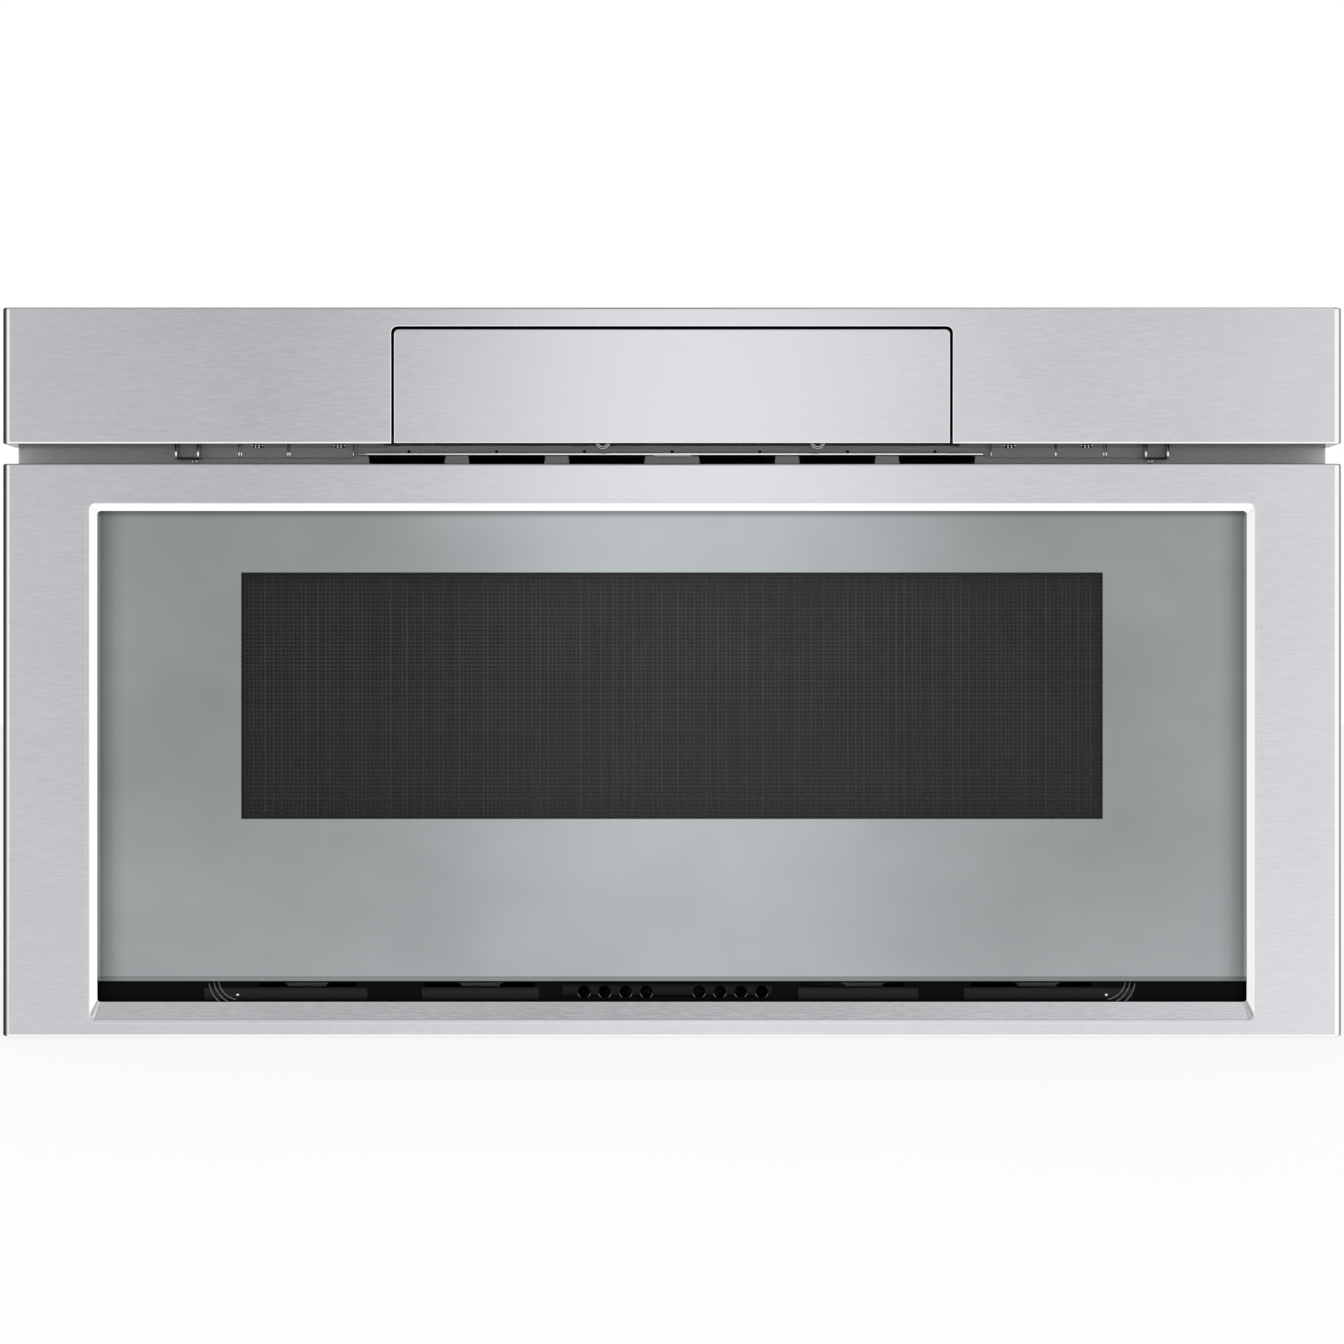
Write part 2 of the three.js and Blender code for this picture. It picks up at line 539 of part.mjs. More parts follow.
// Cooling fins on the anode, between the two sides of the yoke, with the filter box below.
function magnetron() {
  const top = WAVEGUIDE_Z[0] - FIT;
  const height = 96;
  const ys = span(36, MAGNETRON_Y);
  const yoke = cut(
    box(span(MAGNETRON_HALF), ys, [top - height, top]),
    box(span(MAGNETRON_HALF - 2), inset(ys, -1), [top - height + 2, top - 3]),
  );
  const fins = Array.from({ length: 8 }, (_, i) => (
    box(span(MAGNETRON_HALF - 1), inset(ys, 3), [top - 84 + i * FIN_PITCH, top - 83 + i * FIN_PITCH])));
  return join(
    yoke, ...fins,
    rod('z', [0, MAGNETRON_Y], 19, [top - height + 1, top - 1], 14),
    rod('z', [0, MAGNETRON_Y], ANTENNA_RADIUS, [top - 1, top + 24], 12),
    box(span(32), inset(ys, 6), [top - height - 26, top - height + 1]),
  );
}

const FAN_FRAME = 96;
const FAN_SPACE = 50;             // between the fins and the fan, spanned by its duct
const FAN_DEPTH = 22;
const FAN_X = [MAGNETRON_HALF + FAN_SPACE, MAGNETRON_HALF + FAN_SPACE + FAN_DEPTH];
const FAN_BORE = 42;
const FAN_Y = CAVITY_BACK + FIT + FAN_FRAME / 2;
const FAN_DROP = 52;
const FAN_Z = CAVITY_CEILING - FAN_DROP;
const FAN_SHAFT = 2.5;
const FAN_MOTOR_X = FAN_X[1] + 6;

// The shroud and the duct that leads its air into the fins are moulded in one.
function fanShroud() {
  const frame = (half, corner) => roundRect(span(half, FAN_Y), span(half, FAN_Z), corner, 3);
  const duct = [MAGNETRON_HALF + 6, FAN_X[0] + 1];
  return join(
    prism('x', frame(FAN_FRAME / 2, 6), FAN_X, [circle(FAN_Y, FAN_Z, FAN_BORE, 24)]),
    prism('x', frame(FAN_FRAME / 2 - 1, 5), duct, [frame(FAN_FRAME / 2 - 3, 4)]),
  );
}

function fanMotor() {
  const reach = FAN_BORE + 4;
  const bar = [FAN_MOTOR_X + 2, FAN_MOTOR_X + 6];
  const posts = [-1, 1].map((side) => (
    box([FAN_X[1] + FIT, bar[1]], span(4, FAN_Y), span(3, FAN_Z + side * reach))));
  return cut(
    join(
      rod('x', [FAN_Y, FAN_Z], 21, [FAN_MOTOR_X, FAN_MOTOR_X + 34], 20),
      box(bar, span(4, FAN_Y), span(reach + 3, FAN_Z)),
      ...posts,
    ),
    rod('x', [FAN_Y, FAN_Z], FAN_SHAFT + SHAFT_CLEARANCE, [FAN_MOTOR_X - 1, FAN_MOTOR_X + 10], 10),
  );
}

// A hood on the cavity's ceiling that leads the warm air to the vents in the front plate.
function exhaustDuct() {
  const zs = [CAVITY_Z[1] + FIT, VENT_TOP + 5];
  const half = VENT_CENTRES[2] + VENT_WIDTH / 2 + 4;
  const ys = [BODY_FRONT_Y + SHEET + FIT, STIRRER_Y - COUPLING_RADIUS - 12];
  return cut(
    box(span(half), ys, zs),
    box(span(half - SHEET), [ys[0] - 1, ys[1] - SHEET], [zs[0] - 1, zs[1] - SHEET]),
    box([-half + 20, -WAVEGUIDE_HALF - 10], [ys[1] - 3, ys[1] + 1], [zs[0] - 1, zs[1] - 10]),
  );
}

function lampHousing() {
  const xs = [CAVITY_OUTER_HALF + FIT, CAVITY_OUTER_HALF + 30];
  const cup = box(xs, span(22, LAMP.y), span(18, LAMP.z));
  return cut(
    cup,
    rod('x', [LAMP.y, LAMP.z], LAMP.radius, [xs[0] - 1, xs[1] - 6], 12),
  );
}

function powerTransformer() {
  const [x, y] = [-180, BODY_REAR_Y - 50]; // left rear corner of the base
  return join(
    box(span(54, x), span(30, y), [SEAT_Z, SEAT_Z + 2]),
    box(span(38, x), span(30, y), [SEAT_Z + 1, SEAT_Z + 74]),
    prism('z', roundRect(span(26, x), span(42, y), 10, 3), [SEAT_Z + 14, SEAT_Z + 60]),
  );
}

function hvCapacitor() {
  const [x, y] = [-70, BODY_REAR_Y - 48];
  const can = (by) => roundRect(span(27 + by, x), span(17 + by, y), 16 + by, 4);
  return join(
    prism('z', can(0), [SEAT_Z, SEAT_Z + 96]),
    prism('z', can(SHEET), [SEAT_Z + 30, SEAT_Z + 42]),
    box([x + 26, x + 42], span(SHEET / 2, y), [SEAT_Z, SEAT_Z + 42]),
    box(span(3, x - 12), span(0.5, y), [SEAT_Z + 95, SEAT_Z + 104]),
    box(span(3, x + 12), span(0.5, y), [SEAT_Z + 95, SEAT_Z + 104]),
  );
}

const BOARD_X = -BODY_HALF + 12.6;

// The power board stands on four posts from the left wall, its parts towards the middle.
function powerBoard() {
  const wall = -BODY_HALF + SHEET + FIT;
  const parts = [
    [24, [-165, -115], [80, 120]], [18, [-100, -78], [84, 108]], [18, [-70, -48], [84, 108]],
    [22, [-150, -120], [140, 172]], [12, [-95, -30], [150, 158]], [20, [-20, 4], [90, 130]],
  ];
  const posts = [-172, 12].flatMap((y) => (
    [78, 182].map((z) => rod('x', [y, z], 4, [wall, BOARD_X + 0.5], 8))));
  return join(
    box([BOARD_X, BOARD_X + 1.6], [-180, 20], [70, 190]),
    ...parts.map(([tall, ys, zs]) => box([BOARD_X + 1, BOARD_X + 1.6 + tall], ys, zs)),
    ...posts,
  );
}

const HOOK_TIP = DOOR_REAR + HOOK_LENGTH;
const PLUNGER_HALF = 2.5;
const PLUNGER_LENGTH = 14;
const PLUNGER_TRAVEL = 1.5;
const SWITCH_CENTRE_X = (HOOK_X[0] + HOOK_X[1]) / 2;
const SWITCH_CENTRE_Z = (HOOK_Z[0] + HOOK_Z[1]) / 2;
const SWITCH_FRONT = HOOK_TIP + 4;
const SWITCH_HALF_WIDTH = 11;
const SWITCH_HALF_HEIGHT = 19;

function interlockSwitch() {
  const xs = span(SWITCH_HALF_WIDTH, SWITCH_CENTRE_X);
  const bracketZ = span(SWITCH_HALF_HEIGHT - 5, SWITCH_CENTRE_Z);
  const depth = PLUNGER_LENGTH + PLUNGER_TRAVEL + 2;
  const ear = [xs[1] - 1, xs[1] + PLATE_SHEET];
  return cut(
    join(
      box(xs, [SWITCH_FRONT, SWITCH_FRONT + depth + 8], span(SWITCH_HALF_HEIGHT, SWITCH_CENTRE_Z)),
      box(ear, [BODY_FRONT_Y, SWITCH_FRONT + depth + 8], bracketZ),
      box([ear[0], ear[1] + 12], [BODY_FRONT_Y, BODY_FRONT_Y + PLATE_SHEET], bracketZ),
    ),
    box(span(PLUNGER_HALF + FIT, SWITCH_CENTRE_X), [SWITCH_FRONT - 1, SWITCH_FRONT + depth],
      span(PLUNGER_HALF + FIT, SWITCH_CENTRE_Z)),
  );
}

function switchPlunger() {
  const from = HOOK_TIP + FIT;
  return box(span(PLUNGER_HALF, SWITCH_CENTRE_X), [from, from + PLUNGER_LENGTH],
    span(PLUNGER_HALF, SWITCH_CENTRE_Z));
}

// ---------------------------------------------------------------- slides and drive

// Angle bracket on the base that carries the fixed member of a slide, with two gussets.
function slideSupport() {
  const ys = [SLIDE_FRONT, SLIDE_REAR];
  const foot = SUPPORT_X + PLATE_SHEET + 22;
  const gusset = (y) => prism('y', [
    [SUPPORT_X + 1, SEAT_Z + 1], [foot - 4, SEAT_Z + 1], [SUPPORT_X + 1, SLIDE_Z - 30],
  ], [y, y + PLATE_SHEET]);
  return join(
    box([SUPPORT_X, SUPPORT_X + PLATE_SHEET], ys, [SEAT_Z, SLIDE_Z + OUTER_HALF_HEIGHT + 2]),
    box([SUPPORT_X, foot], ys, [SEAT_Z, SEAT_Z + PLATE_SHEET]),
    gusset(ys[0] + 60), gusset(ys[1] - 60),
  );
}

// A channel section in x,z: a web with a lip at top and bottom, drawn about the centre line.
function channel(webX, webThickness, lipFrom, lipTo, halfHeight, lipThickness) {
  const [z0, z1] = span(halfHeight, SLIDE_Z);
  const webs = rect([webX, webX + webThickness], [z0, z1]);
  const lips = [[z0, z0 + lipThickness], [z1 - lipThickness, z1]].map((zs) => rect([lipFrom, lipTo], zs));
  return (ys) => join(...[webs, ...lips].map((outline) => prism('y', outline, ys)));
}

function slideOuter() {
  const section = channel(SLIDE_OUTER_X, PLATE_SHEET, SLIDE_OUTER_X - OUTER_LIP, SLIDE_OUTER_X + PLATE_SHEET,
    OUTER_HALF_HEIGHT, PLATE_SHEET);
  return section([SLIDE_FRONT, SLIDE_REAR]);
}

function slideMiddle() {
  const section = channel(SLIDE_MIDDLE_X, SHEET, SLIDE_MIDDLE_X - MIDDLE_LIP, SLIDE_MIDDLE_X + MIDDLE_LIP,
    MIDDLE_HALF_HEIGHT, SHEET);
  return section([SLIDE_FRONT - 1, SLIDE_REAR - 1]);
}

function slideInner() {
  const section = channel(SLIDE_INNER_X, SHEET, SLIDE_INNER_X, SLIDE_INNER_X + INNER_LIP,
    INNER_HALF_HEIGHT, SHEET);
  return section([SLIDE_FRONT - INNER_LEAD, ARM_REAR]);
}

// The arm runs back beside the tub; its front flange bolts to the door and carries the switch hook.
function drawerArm() {
  const hand = [DOOR_REAR, DOOR_REAR + PLATE_SHEET];
  const flange = [
    [ARM_X[0], ARM_Z[0] - 4], [ARM_X[0] + 20, ARM_Z[0] - 4], [ARM_X[0] + 20, HOOK_Z[0] - 12],
    [HOOK_X[1] + 5, HOOK_Z[0] - 12], [HOOK_X[1] + 5, HOOK_Z[1] + 8], [ARM_X[0], HOOK_Z[1] + 8],
  ];
  return join(
    box(ARM_X, [DOOR_REAR, ARM_REAR], ARM_Z),
    prism('y', flange, hand),
    box(HOOK_X, [DOOR_REAR, HOOK_TIP], HOOK_Z),
  );
}

function driveRack() {
  const ys = [BODY_FRONT_Y + 0.7, SLIDE_REAR - 7];
  return prism('x', rackOutline(ys, RACK_PITCH_Z, RACK_PITCH_Z + DEDENDUM + RACK_BODY), RACK_X);
}

// Pinion and gear on one shaft, modelled about the shaft's axis.
function drivePinion() {
  const halfPitch = 180 / PINION_TEETH;
  return join(
    prism('x', gearOutline(PINION_TEETH, 90 + halfPitch, 3), [GEAR_X[1] - 0.5, RACK_X[1] - 0.2]),
    prism('x', gearOutline(GEAR_TEETH, -90, 2), GEAR_X),
    rod('x', [0, 0], SHAFT_RADIUS, [BRACKET_INNER_X[0] - 1, BRACKET_OUTER_X[1] + 1], 12),
  );
}

function motorPinion() {
  const halfPitch = 180 / MOTOR_TEETH;
  return join(
    prism('x', gearOutline(MOTOR_TEETH, 90 + halfPitch, 3), GEAR_X),
    rod('x', [0, 0], SHAFT_RADIUS, [BRACKET_INNER_X[0] - FIT - 8, GEAR_X[1] + 1], 12),
  );
}

function driveMotor() {
  const face = BRACKET_INNER_X[0] - FIT;
  const axis = [PINION_Y, MOTOR_Z];
  return cut(
    join(
      rod('x', axis, MOTOR_RADIUS, [face - 24, face], 20),
      rod('x', axis, MOTOR_RADIUS - 4, [face - MOTOR_LENGTH, face - 23], 20),
    ),
    rod('x', axis, BORE_RADIUS, [face - 9, face + 1], 12),
  );
}

// A U-shaped bracket on the base: both cheeks bear the pinion shaft, the inner one the motor.
function driveBracket() {
  const ys = span(24, PINION_Y);
  const top = PINION_Z + 12;
  const cheek = (xs) => box(xs, ys, [SEAT_Z, top]);
  const through = [BRACKET_INNER_X[0] - 1, BRACKET_OUTER_X[1] + 1];
  return cut(
    join(
      cheek(BRACKET_INNER_X), cheek(BRACKET_OUTER_X),
      box([BRACKET_INNER_X[0], BRACKET_OUTER_X[1]], ys, [SEAT_Z, SEAT_Z + PLATE_SHEET]),
    ),
    rod('x', [PINION_Y, PINION_Z], BORE_RADIUS, through, 12),
    rod('x', [PINION_Y, MOTOR_Z], BORE_RADIUS, [through[0], BRACKET_INNER_X[1] + 1], 12),
  );
}

// ---------------------------------------------------------------- drawer

const FRONT_OUTLINE = (half, yFront, yBack, radius) => (
  roundRect(span(half), [yFront, yBack], [radius, radius, 0, 0], 5));

const DRAWER_FOLD_SHORT = 1.5;    // the drawer's folds end short of the strip's

// A folded stainless box, open behind, with a chamfered opening for the glass.
function drawerFrame() {
  const back = FRONT_BACK_Y - DRAWER_FOLD_SHORT;
  const shell = cut(
    prism('z', FRONT_OUTLINE(FACE_HALF, FRONT_Y, back, EDGE_RADIUS), DRAWER_Z),
    prism('z', FRONT_OUTLINE(FACE_HALF - SHEET, FRONT_Y + SHEET, back + 1, EDGE_RADIUS - SHEET),
      inset(DRAWER_Z, SHEET)),
  );
  const lip = box(span(OPENING_HALF_WIDTH + 6), [FRONT_Y + SHEET / 2, FRONT_Y + BEZEL_DEPTH],
    [OPENING_BOTTOM - 4, OPENING_TOP + 6]);
  const opening = taperY(
    [span(OPENING_HALF_WIDTH), [OPENING_BOTTOM, OPENING_TOP]], FRONT_Y,
    [span(OPENING_HALF_WIDTH - CHAMFER), [SLOT_BOTTOM, OPENING_TOP - CHAMFER]], FRONT_Y + BEZEL_DEPTH,
  );
  const beyond = [
    box(span(OPENING_HALF_WIDTH), [FRONT_Y - 1, FRONT_Y + 0.01], [OPENING_BOTTOM, OPENING_TOP]),
    box(span(OPENING_HALF_WIDTH - CHAMFER), [FRONT_Y + BEZEL_DEPTH - 0.01, FRONT_Y + BEZEL_DEPTH + 1],
      [SLOT_BOTTOM, OPENING_TOP - CHAMFER]),
  ];
  return cut(join(shell, lip), join(opening, ...beyond));
}

const GLASS_BEVEL = 3;

function doorGlass() {
  const [front, back] = GLASS_Y;
  const [foot, top] = GLASS_Z;
  const outline = [[front, foot + GLASS_BEVEL], [front + 1, foot], [back, foot], [back, top], [front, top]];
  return prism('x', outline, span(GLASS_HALF));
}

const SCREEN_MARGIN = 13;
const SCREEN_Y = [GLASS_Y[1] + FIT, GLASS_Y[1] + FIT + 0.8];
const SCREEN_X = span(WINDOW_HALF_WIDTH + SCREEN_MARGIN);
const SCREEN_Z = [WINDOW_BOTTOM - SCREEN_MARGIN, WINDOW_TOP + SCREEN_MARGIN];

function windowScreen() {
  return box(SCREEN_X, SCREEN_Y, SCREEN_Z);
}

// A ring with parallel walls between two planes, for frames that surround an opening.
function ring(xs, zs, wall, ys) {
  return prism('y', rect(xs, zs), ys, [rect(inset(xs, wall), inset(zs, wall))]);
}

function windowFrame() {
  return ring(inset(SCREEN_X, 3), inset(SCREEN_Z, 3), 5, [SCREEN_Y[1] + FIT, INNER_PANEL_Y[0] - FIT]);
}

// The steel carrier the glass is bonded to: a deep wall with a flange behind the glass.
function glassCarrier() {
  const xs = span(GLASS_HALF - 6);
  const zs = [GLASS_Z[0] + 3.4, GLASS_Z[1] - 6];
  return join(
    ring(xs, zs, PLATE_SHEET, [SCREEN_Y[0], INNER_PANEL_Y[0] - FIT]),
    ring(xs, zs, 14, [SCREEN_Y[0], SCREEN_Y[0] + SHEET]),
  );
}

function doorInnerPanel() {
  const half = FACE_HALF - SHEET - FIT;
  const zs = inset(DRAWER_Z, SHEET + FIT);
  const pan = cut(
    box(span(half), [INNER_PANEL_Y[0] - 12, INNER_PANEL_Y[1]], zs),
    box(span(half - SHEET), [INNER_PANEL_Y[0] - 13, INNER_PANEL_Y[0]], inset(zs, SHEET)),
  );
  const through = inset(INNER_PANEL_Y, -1);
  const slots = [-1, 1].flatMap((side) => INTAKE_CENTRES.map((centre) => (
    prism('y', roundRect(span(INTAKE_HALF, side * centre), INTAKE_Z, 4, 2), through))));
  return cut(
    pan,
    box(span(WINDOW_HALF_WIDTH - 4), through, [WINDOW_BOTTOM - 6, WINDOW_TOP + 4]),
    ...slots,
  );
}

function innerWindow() {
  const zs = [TUB_FLOOR, TUB_FLOOR + TUB_HEIGHT + 3];
  return box(span(TUB_HALF + 2), [DOOR_REAR, DOOR_REAR + INNER_WINDOW], zs);
}

function chokeCover() {
  return prism('y', roundRect(span(CHOKE_OUTER_HALF), inset(CHOKE_Z, -CHOKE_WIDTH), CHOKE_CORNER, 4),
    [DOOR_REAR, PLATE_Y[0] - FIT], [rect(span(CHOKE_HALF), CHOKE_Z)]);
}

const GRILLE_Z = [9, GLASS_Z[0] + 3];
const GRILLE_THICKNESS = 2.5;
const PADS = [[-266, -173.2], [-142.3, -75.6], [71.7, 140.2], [166, 262]];
const PAD_SLOTS = [[-235.7, -179.7], [-140.5, -78], [73.5, 132.5], [170, 238.8]];
const SLOT_Z = [29.4, 31.6];
const PLUG_PLATE = [-62.3, 57];
const AIR_HOLES = [-50, -38.2, -26.3, -14.5, 15.4, 27.2, 39.1, 51];
const AIR_HOLE_RADIUS = 3.55;
const AIR_HOLE_Z = 26.5;
const PAD_SWELL = 1.2;
const PLUG_SWELL = 0.8;

// The dark grille seen through the slot under the glass: swelling pads with a slot over each, and a
// plate with round holes between them.
function lowerVentGrille() {
  const front = GLASS_Y[1] + FIT + 1.2;
  const back = front + GRILLE_THICKNESS;
  const swelling = (top, swell, xs) => prism('x', [
    [front + 0.5, top], [front - 0.5 * swell, top - 0.4], [front - 0.9 * swell, top - 1.8],
    [front - swell, top - 3.6], [front - 0.7 * swell, top - 6.8], [front + 0.5, top - 9.5],
  ], xs);
  const plate = box(span(OPENING_HALF_WIDTH), [front, back], GRILLE_Z);
  const pads = PADS.map((xs) => swelling(SLOT_Z[0], PAD_SWELL, xs));
  const through = [front - 3, back + 1];
  const slots = PAD_SLOTS.map((xs) => prism('y', rect(xs, SLOT_Z), through));
  const holes = AIR_HOLES.map((x) => rod('y', [x, AIR_HOLE_Z], AIR_HOLE_RADIUS, through, 12));
  return cut(join(plate, ...pads, swelling(SLOT_Z[1], PLUG_SWELL, PLUG_PLATE)), ...slots, ...holes);
}

// A deep-drawn tub, open above and in front, with a rolled rim and two glides under its rear.
function tub() {
  const zs = [TUB_FLOOR, TUB_FLOOR + TUB_HEIGHT];
  const section = (by) => roundRect(span(TUB_HALF - by), [zs[0] + by, zs[1]],
    [TUB_CORNER - by, TUB_CORNER - by, 0, 0], 4);
  const rimZ = [zs[1] - SHEET, zs[1]];
  const rim = (xs, ys) => box(xs, ys, rimZ);
  const ys = [TUB_FRONT, TUB_REAR];
  const glideY = [TUB_REAR - 60, TUB_REAR - 20];
  const glide = (x) => box(span(14, x), glideY, [CAVITY_FLOOR + FIT, TUB_FLOOR + 0.5]);
  const body = join(
    prism('y', section(0), ys),
    rim(span(TUB_HALF + TUB_RIM), [TUB_FRONT, TUB_REAR + TUB_RIM]),
    glide(-TUB_HALF + 40), glide(TUB_HALF - 40),
  );
  const mouth = [[TUB_HALF - SHEET, zs[1] + 1], [-TUB_HALF + SHEET, zs[1] + 1]];
  const hollow = [...section(SHEET).slice(0, -2), ...mouth];
  return cut(body, prism('y', hollow, [TUB_FRONT - 1, TUB_REAR - SHEET]));
}

function floorTray() {
  const z = TUB_FLOOR + SHEET + FIT;
  const ys = [TUB_FRONT + TRAY_INSET, TUB_REAR - TRAY_INSET];
  return prism('z', roundRect(span(TUB_HALF - TRAY_INSET), ys, 14, 4), [z, z + TRAY_THICKNESS]);
}

// ---------------------------------------------------------------- control strip

const BRACKET_Y = [PLATE_Y[0] - FIT - SHEET, PLATE_Y[0] - FIT];
const DEFLECTOR_HALF = 181;
const DEFLECTOR_Z = [VENT_TOP + 0.1, STRIP_Z[0] + 1.2];
const DEFLECTOR_REACH = 6;
const STRIP_BRACKET_X = [DEFLECTOR_HALF + 2.5, DEFLECTOR_HALF + 104.5];
const HOUSING_WALL = 4;
const HOUSING_HALF = FLAP_OPENING_HALF + 0.6 + HOUSING_WALL;
const HOUSING_BACK = PLATE_Y[0] - 0.8;
const HOUSING_FOOT = DEFLECTOR_Z[1] + FIT;
const SWING_REACH = 7;            // what the flap's foot sweeps behind its pivot
const BUMPERS = [-39.4, 83];

function controlFascia() {
  const shell = cut(
    prism('z', FRONT_OUTLINE(FACE_HALF, FRONT_Y, FRONT_BACK_Y, EDGE_RADIUS), STRIP_Z),
    prism('z', FRONT_OUTLINE(FACE_HALF - SHEET, FRONT_Y + SHEET, FRONT_BACK_Y + 1, EDGE_RADIUS - SHEET),
      inset(STRIP_Z, SHEET)),
  );
  const opening = roundRect(span(FLAP_OPENING_HALF), [STRIP_Z[0] - 2, FLAP_TOP + FLAP_SEAM],
    [0, 0, FLAP_CORNER, FLAP_CORNER], 3);
  const behind = [STRIP_Z[0] - 1, STRIP_Z[0] + SHEET + 0.5];
  return cut(
    shell,
    prism('y', opening, [FRONT_Y - 1, FRONT_Y + SHEET + 1]),
    box(span(HOUSING_HALF + FIT), [FRONT_Y + SHEET, FRONT_BACK_Y + 1], behind),
    box(span(FACE_HALF - SHEET), [BRACKET_Y[0] - FIT, FRONT_BACK_Y + 1], behind),
  );
}

// The moulded box the flap swings in. It bears the pins, and two bumpers hang under its front.
function controlHousing() {
  const front = FRONT_Y + SHEET + FIT;
  const top = PIVOT_Z + Math.hypot(FLAP_TOP - PIVOT_Z, PIVOT_BEHIND_FACE) + 2;
  const swing = PIVOT_Y + SWING_REACH;
  const outer = rect([front, HOUSING_BACK], [HOUSING_FOOT, top + 2]);
  const hollow = [
    [front - 1, HOUSING_FOOT - 1], [swing, HOUSING_FOOT - 1], [swing, HOUSING_FOOT + 2],
    [HOUSING_BACK - 2.2, HOUSING_FOOT + 2], [HOUSING_BACK - 2.2, top], [front - 1, top],
  ];
  const bumper = (x) => prism('y', arc(x, HOUSING_FOOT + 0.2, 3.8, 180, 360, 8), [swing + 0.5, swing + 7]);
  return cut(
    join(
      cut(prism('x', outer, span(HOUSING_HALF)), prism('x', hollow, span(HOUSING_HALF - HOUSING_WALL))),
      ...BUMPERS.map(bumper),
    ),
    rod('x', [PIVOT_Y, PIVOT_Z], PIN_RADIUS + FIT, span(HOUSING_HALF + 1), 12),
  );
}

function ventDeflector() {
  const outline = [
    [BRACKET_Y[1], DEFLECTOR_Z[0]], [BRACKET_Y[1], DEFLECTOR_Z[1]], [BRACKET_Y[0], DEFLECTOR_Z[1]],
    [BRACKET_Y[0], DEFLECTOR_Z[0] + SHEET], [BRACKET_Y[0] - DEFLECTOR_REACH, DEFLECTOR_Z[0] + SHEET],
    [BRACKET_Y[0] - DEFLECTOR_REACH, DEFLECTOR_Z[0]],
  ];
  return prism('x', outline, span(DEFLECTOR_HALF));
}

// Plates that hold the strip to the front plate, each ending in a small forward channel.
function stripBracket() {
  const foot = DEFLECTOR_Z[0] - 1.5;
  const xs = STRIP_BRACKET_X;
  const wing = (x) => box([x, x + SHEET], [BRACKET_Y[0] - 9, BRACKET_Y[1]], [foot, STRIP_Z[0] - FIT]);
  return join(box(xs, BRACKET_Y, [foot, foot + 30]), wing(xs[1] - 14), wing(xs[1] - SHEET));
}

function flapDrive() {
  const xs = [HOUSING_HALF + FIT + 0.4, HOUSING_HALF + 24];
  const ys = [FRONT_Y + SHEET + 2 * FIT, FRONT_Y + 30];
  return cut(
    prism('x', roundRect(ys, [STRIP_Z[0] + SHEET + FIT, PIVOT_Z + 32], 3, 2), xs),
    rod('x', [PIVOT_Y, PIVOT_Z], PIN_RADIUS + FIT, [xs[0] - 1, xs[0] + 8], 12),
  );
}

// ---------------------------------------------------------------- flap, drawn about its pivot

const FLAP_SKIN_Y = [-PIVOT_BEHIND_FACE, -PIVOT_BEHIND_FACE + SHEET];
const FLAP_Z = [FLAP_FOOT - PIVOT_Z, FLAP_TOP - PIVOT_Z];
const TOUCH_THICKNESS = 2.5;
const WEDGE_DEPTH = 38.5;         // front to back of the shelf that carries the touch glass
const WEDGE_FALL = 10.3;          // the shelf falls by this towards the back
const WEDGE_FRONT = FLAP_SKIN_Y[1] + FIT;
const WEDGE_TOP = FLAP_Z[1] - 4;
const WEDGE_HALF = FLAP_HALF_WIDTH - 2.5;

function flapPanel() {
  return prism('y', roundRect(span(FLAP_HALF_WIDTH), FLAP_Z, [0, 0, FLAP_CORNER - 1, FLAP_CORNER - 1], 3),
    FLAP_SKIN_Y);
}

// A wedge-shaped moulding, open behind, with ribs; its pins turn in the housing and the drive.
function flapCarrier() {
  const wall = 2;
  const back = WEDGE_FRONT + WEDGE_DEPTH;
  const wedge = [
    [WEDGE_FRONT, FLAP_Z[0]], [4, FLAP_Z[0]], [back, WEDGE_TOP - WEDGE_FALL - 3],
    [back, WEDGE_TOP - WEDGE_FALL], [WEDGE_FRONT, WEDGE_TOP],
  ];
  const slope = WEDGE_FALL / WEDGE_DEPTH;
  const hollow = [
    [WEDGE_FRONT + wall, FLAP_Z[0] - 1], [back + 5, FLAP_Z[0] - 1],
    [back + 5, WEDGE_TOP - wall - (WEDGE_DEPTH + 5) * slope],
    [WEDGE_FRONT + wall, WEDGE_TOP - wall * (1 + slope)],
  ];
  const third = (2 * WEDGE_HALF - 4 * wall) / 3;
  const bays = [0, 1, 2].map((i) => {
    const from = -WEDGE_HALF + wall + i * (third + wall);
    return prism('x', hollow, [from, from + third]);
  });
  return join(
    cut(prism('x', wedge, span(WEDGE_HALF)), ...bays),
    rod('x', [0, 0], PIN_RADIUS, [-HOUSING_HALF + 0.6, -WEDGE_HALF + 1], 12),
    rod('x', [0, 0], PIN_RADIUS, [WEDGE_HALF - 1, HOUSING_HALF + 7], 12),
  );
}

function touchGlass() {
  const run = Math.hypot(WEDGE_DEPTH, WEDGE_FALL);
  const normal = [WEDGE_FALL / run * TOUCH_THICKNESS, WEDGE_DEPTH / run * TOUCH_THICKNESS];
  const back = WEDGE_FRONT + WEDGE_DEPTH;
  const seat = [[WEDGE_FRONT, WEDGE_TOP + FIT], [back, WEDGE_TOP - WEDGE_FALL + FIT]];
  const face = seat.toReversed().map(([y, z]) => [y + normal[0], z + normal[1]]);
  return prism('x', [...seat, ...face], span(WEDGE_HALF));
}

// ---------------------------------------------------------------- stirrer and fan, about their axes

const STIRRER_RADIUS = 75;

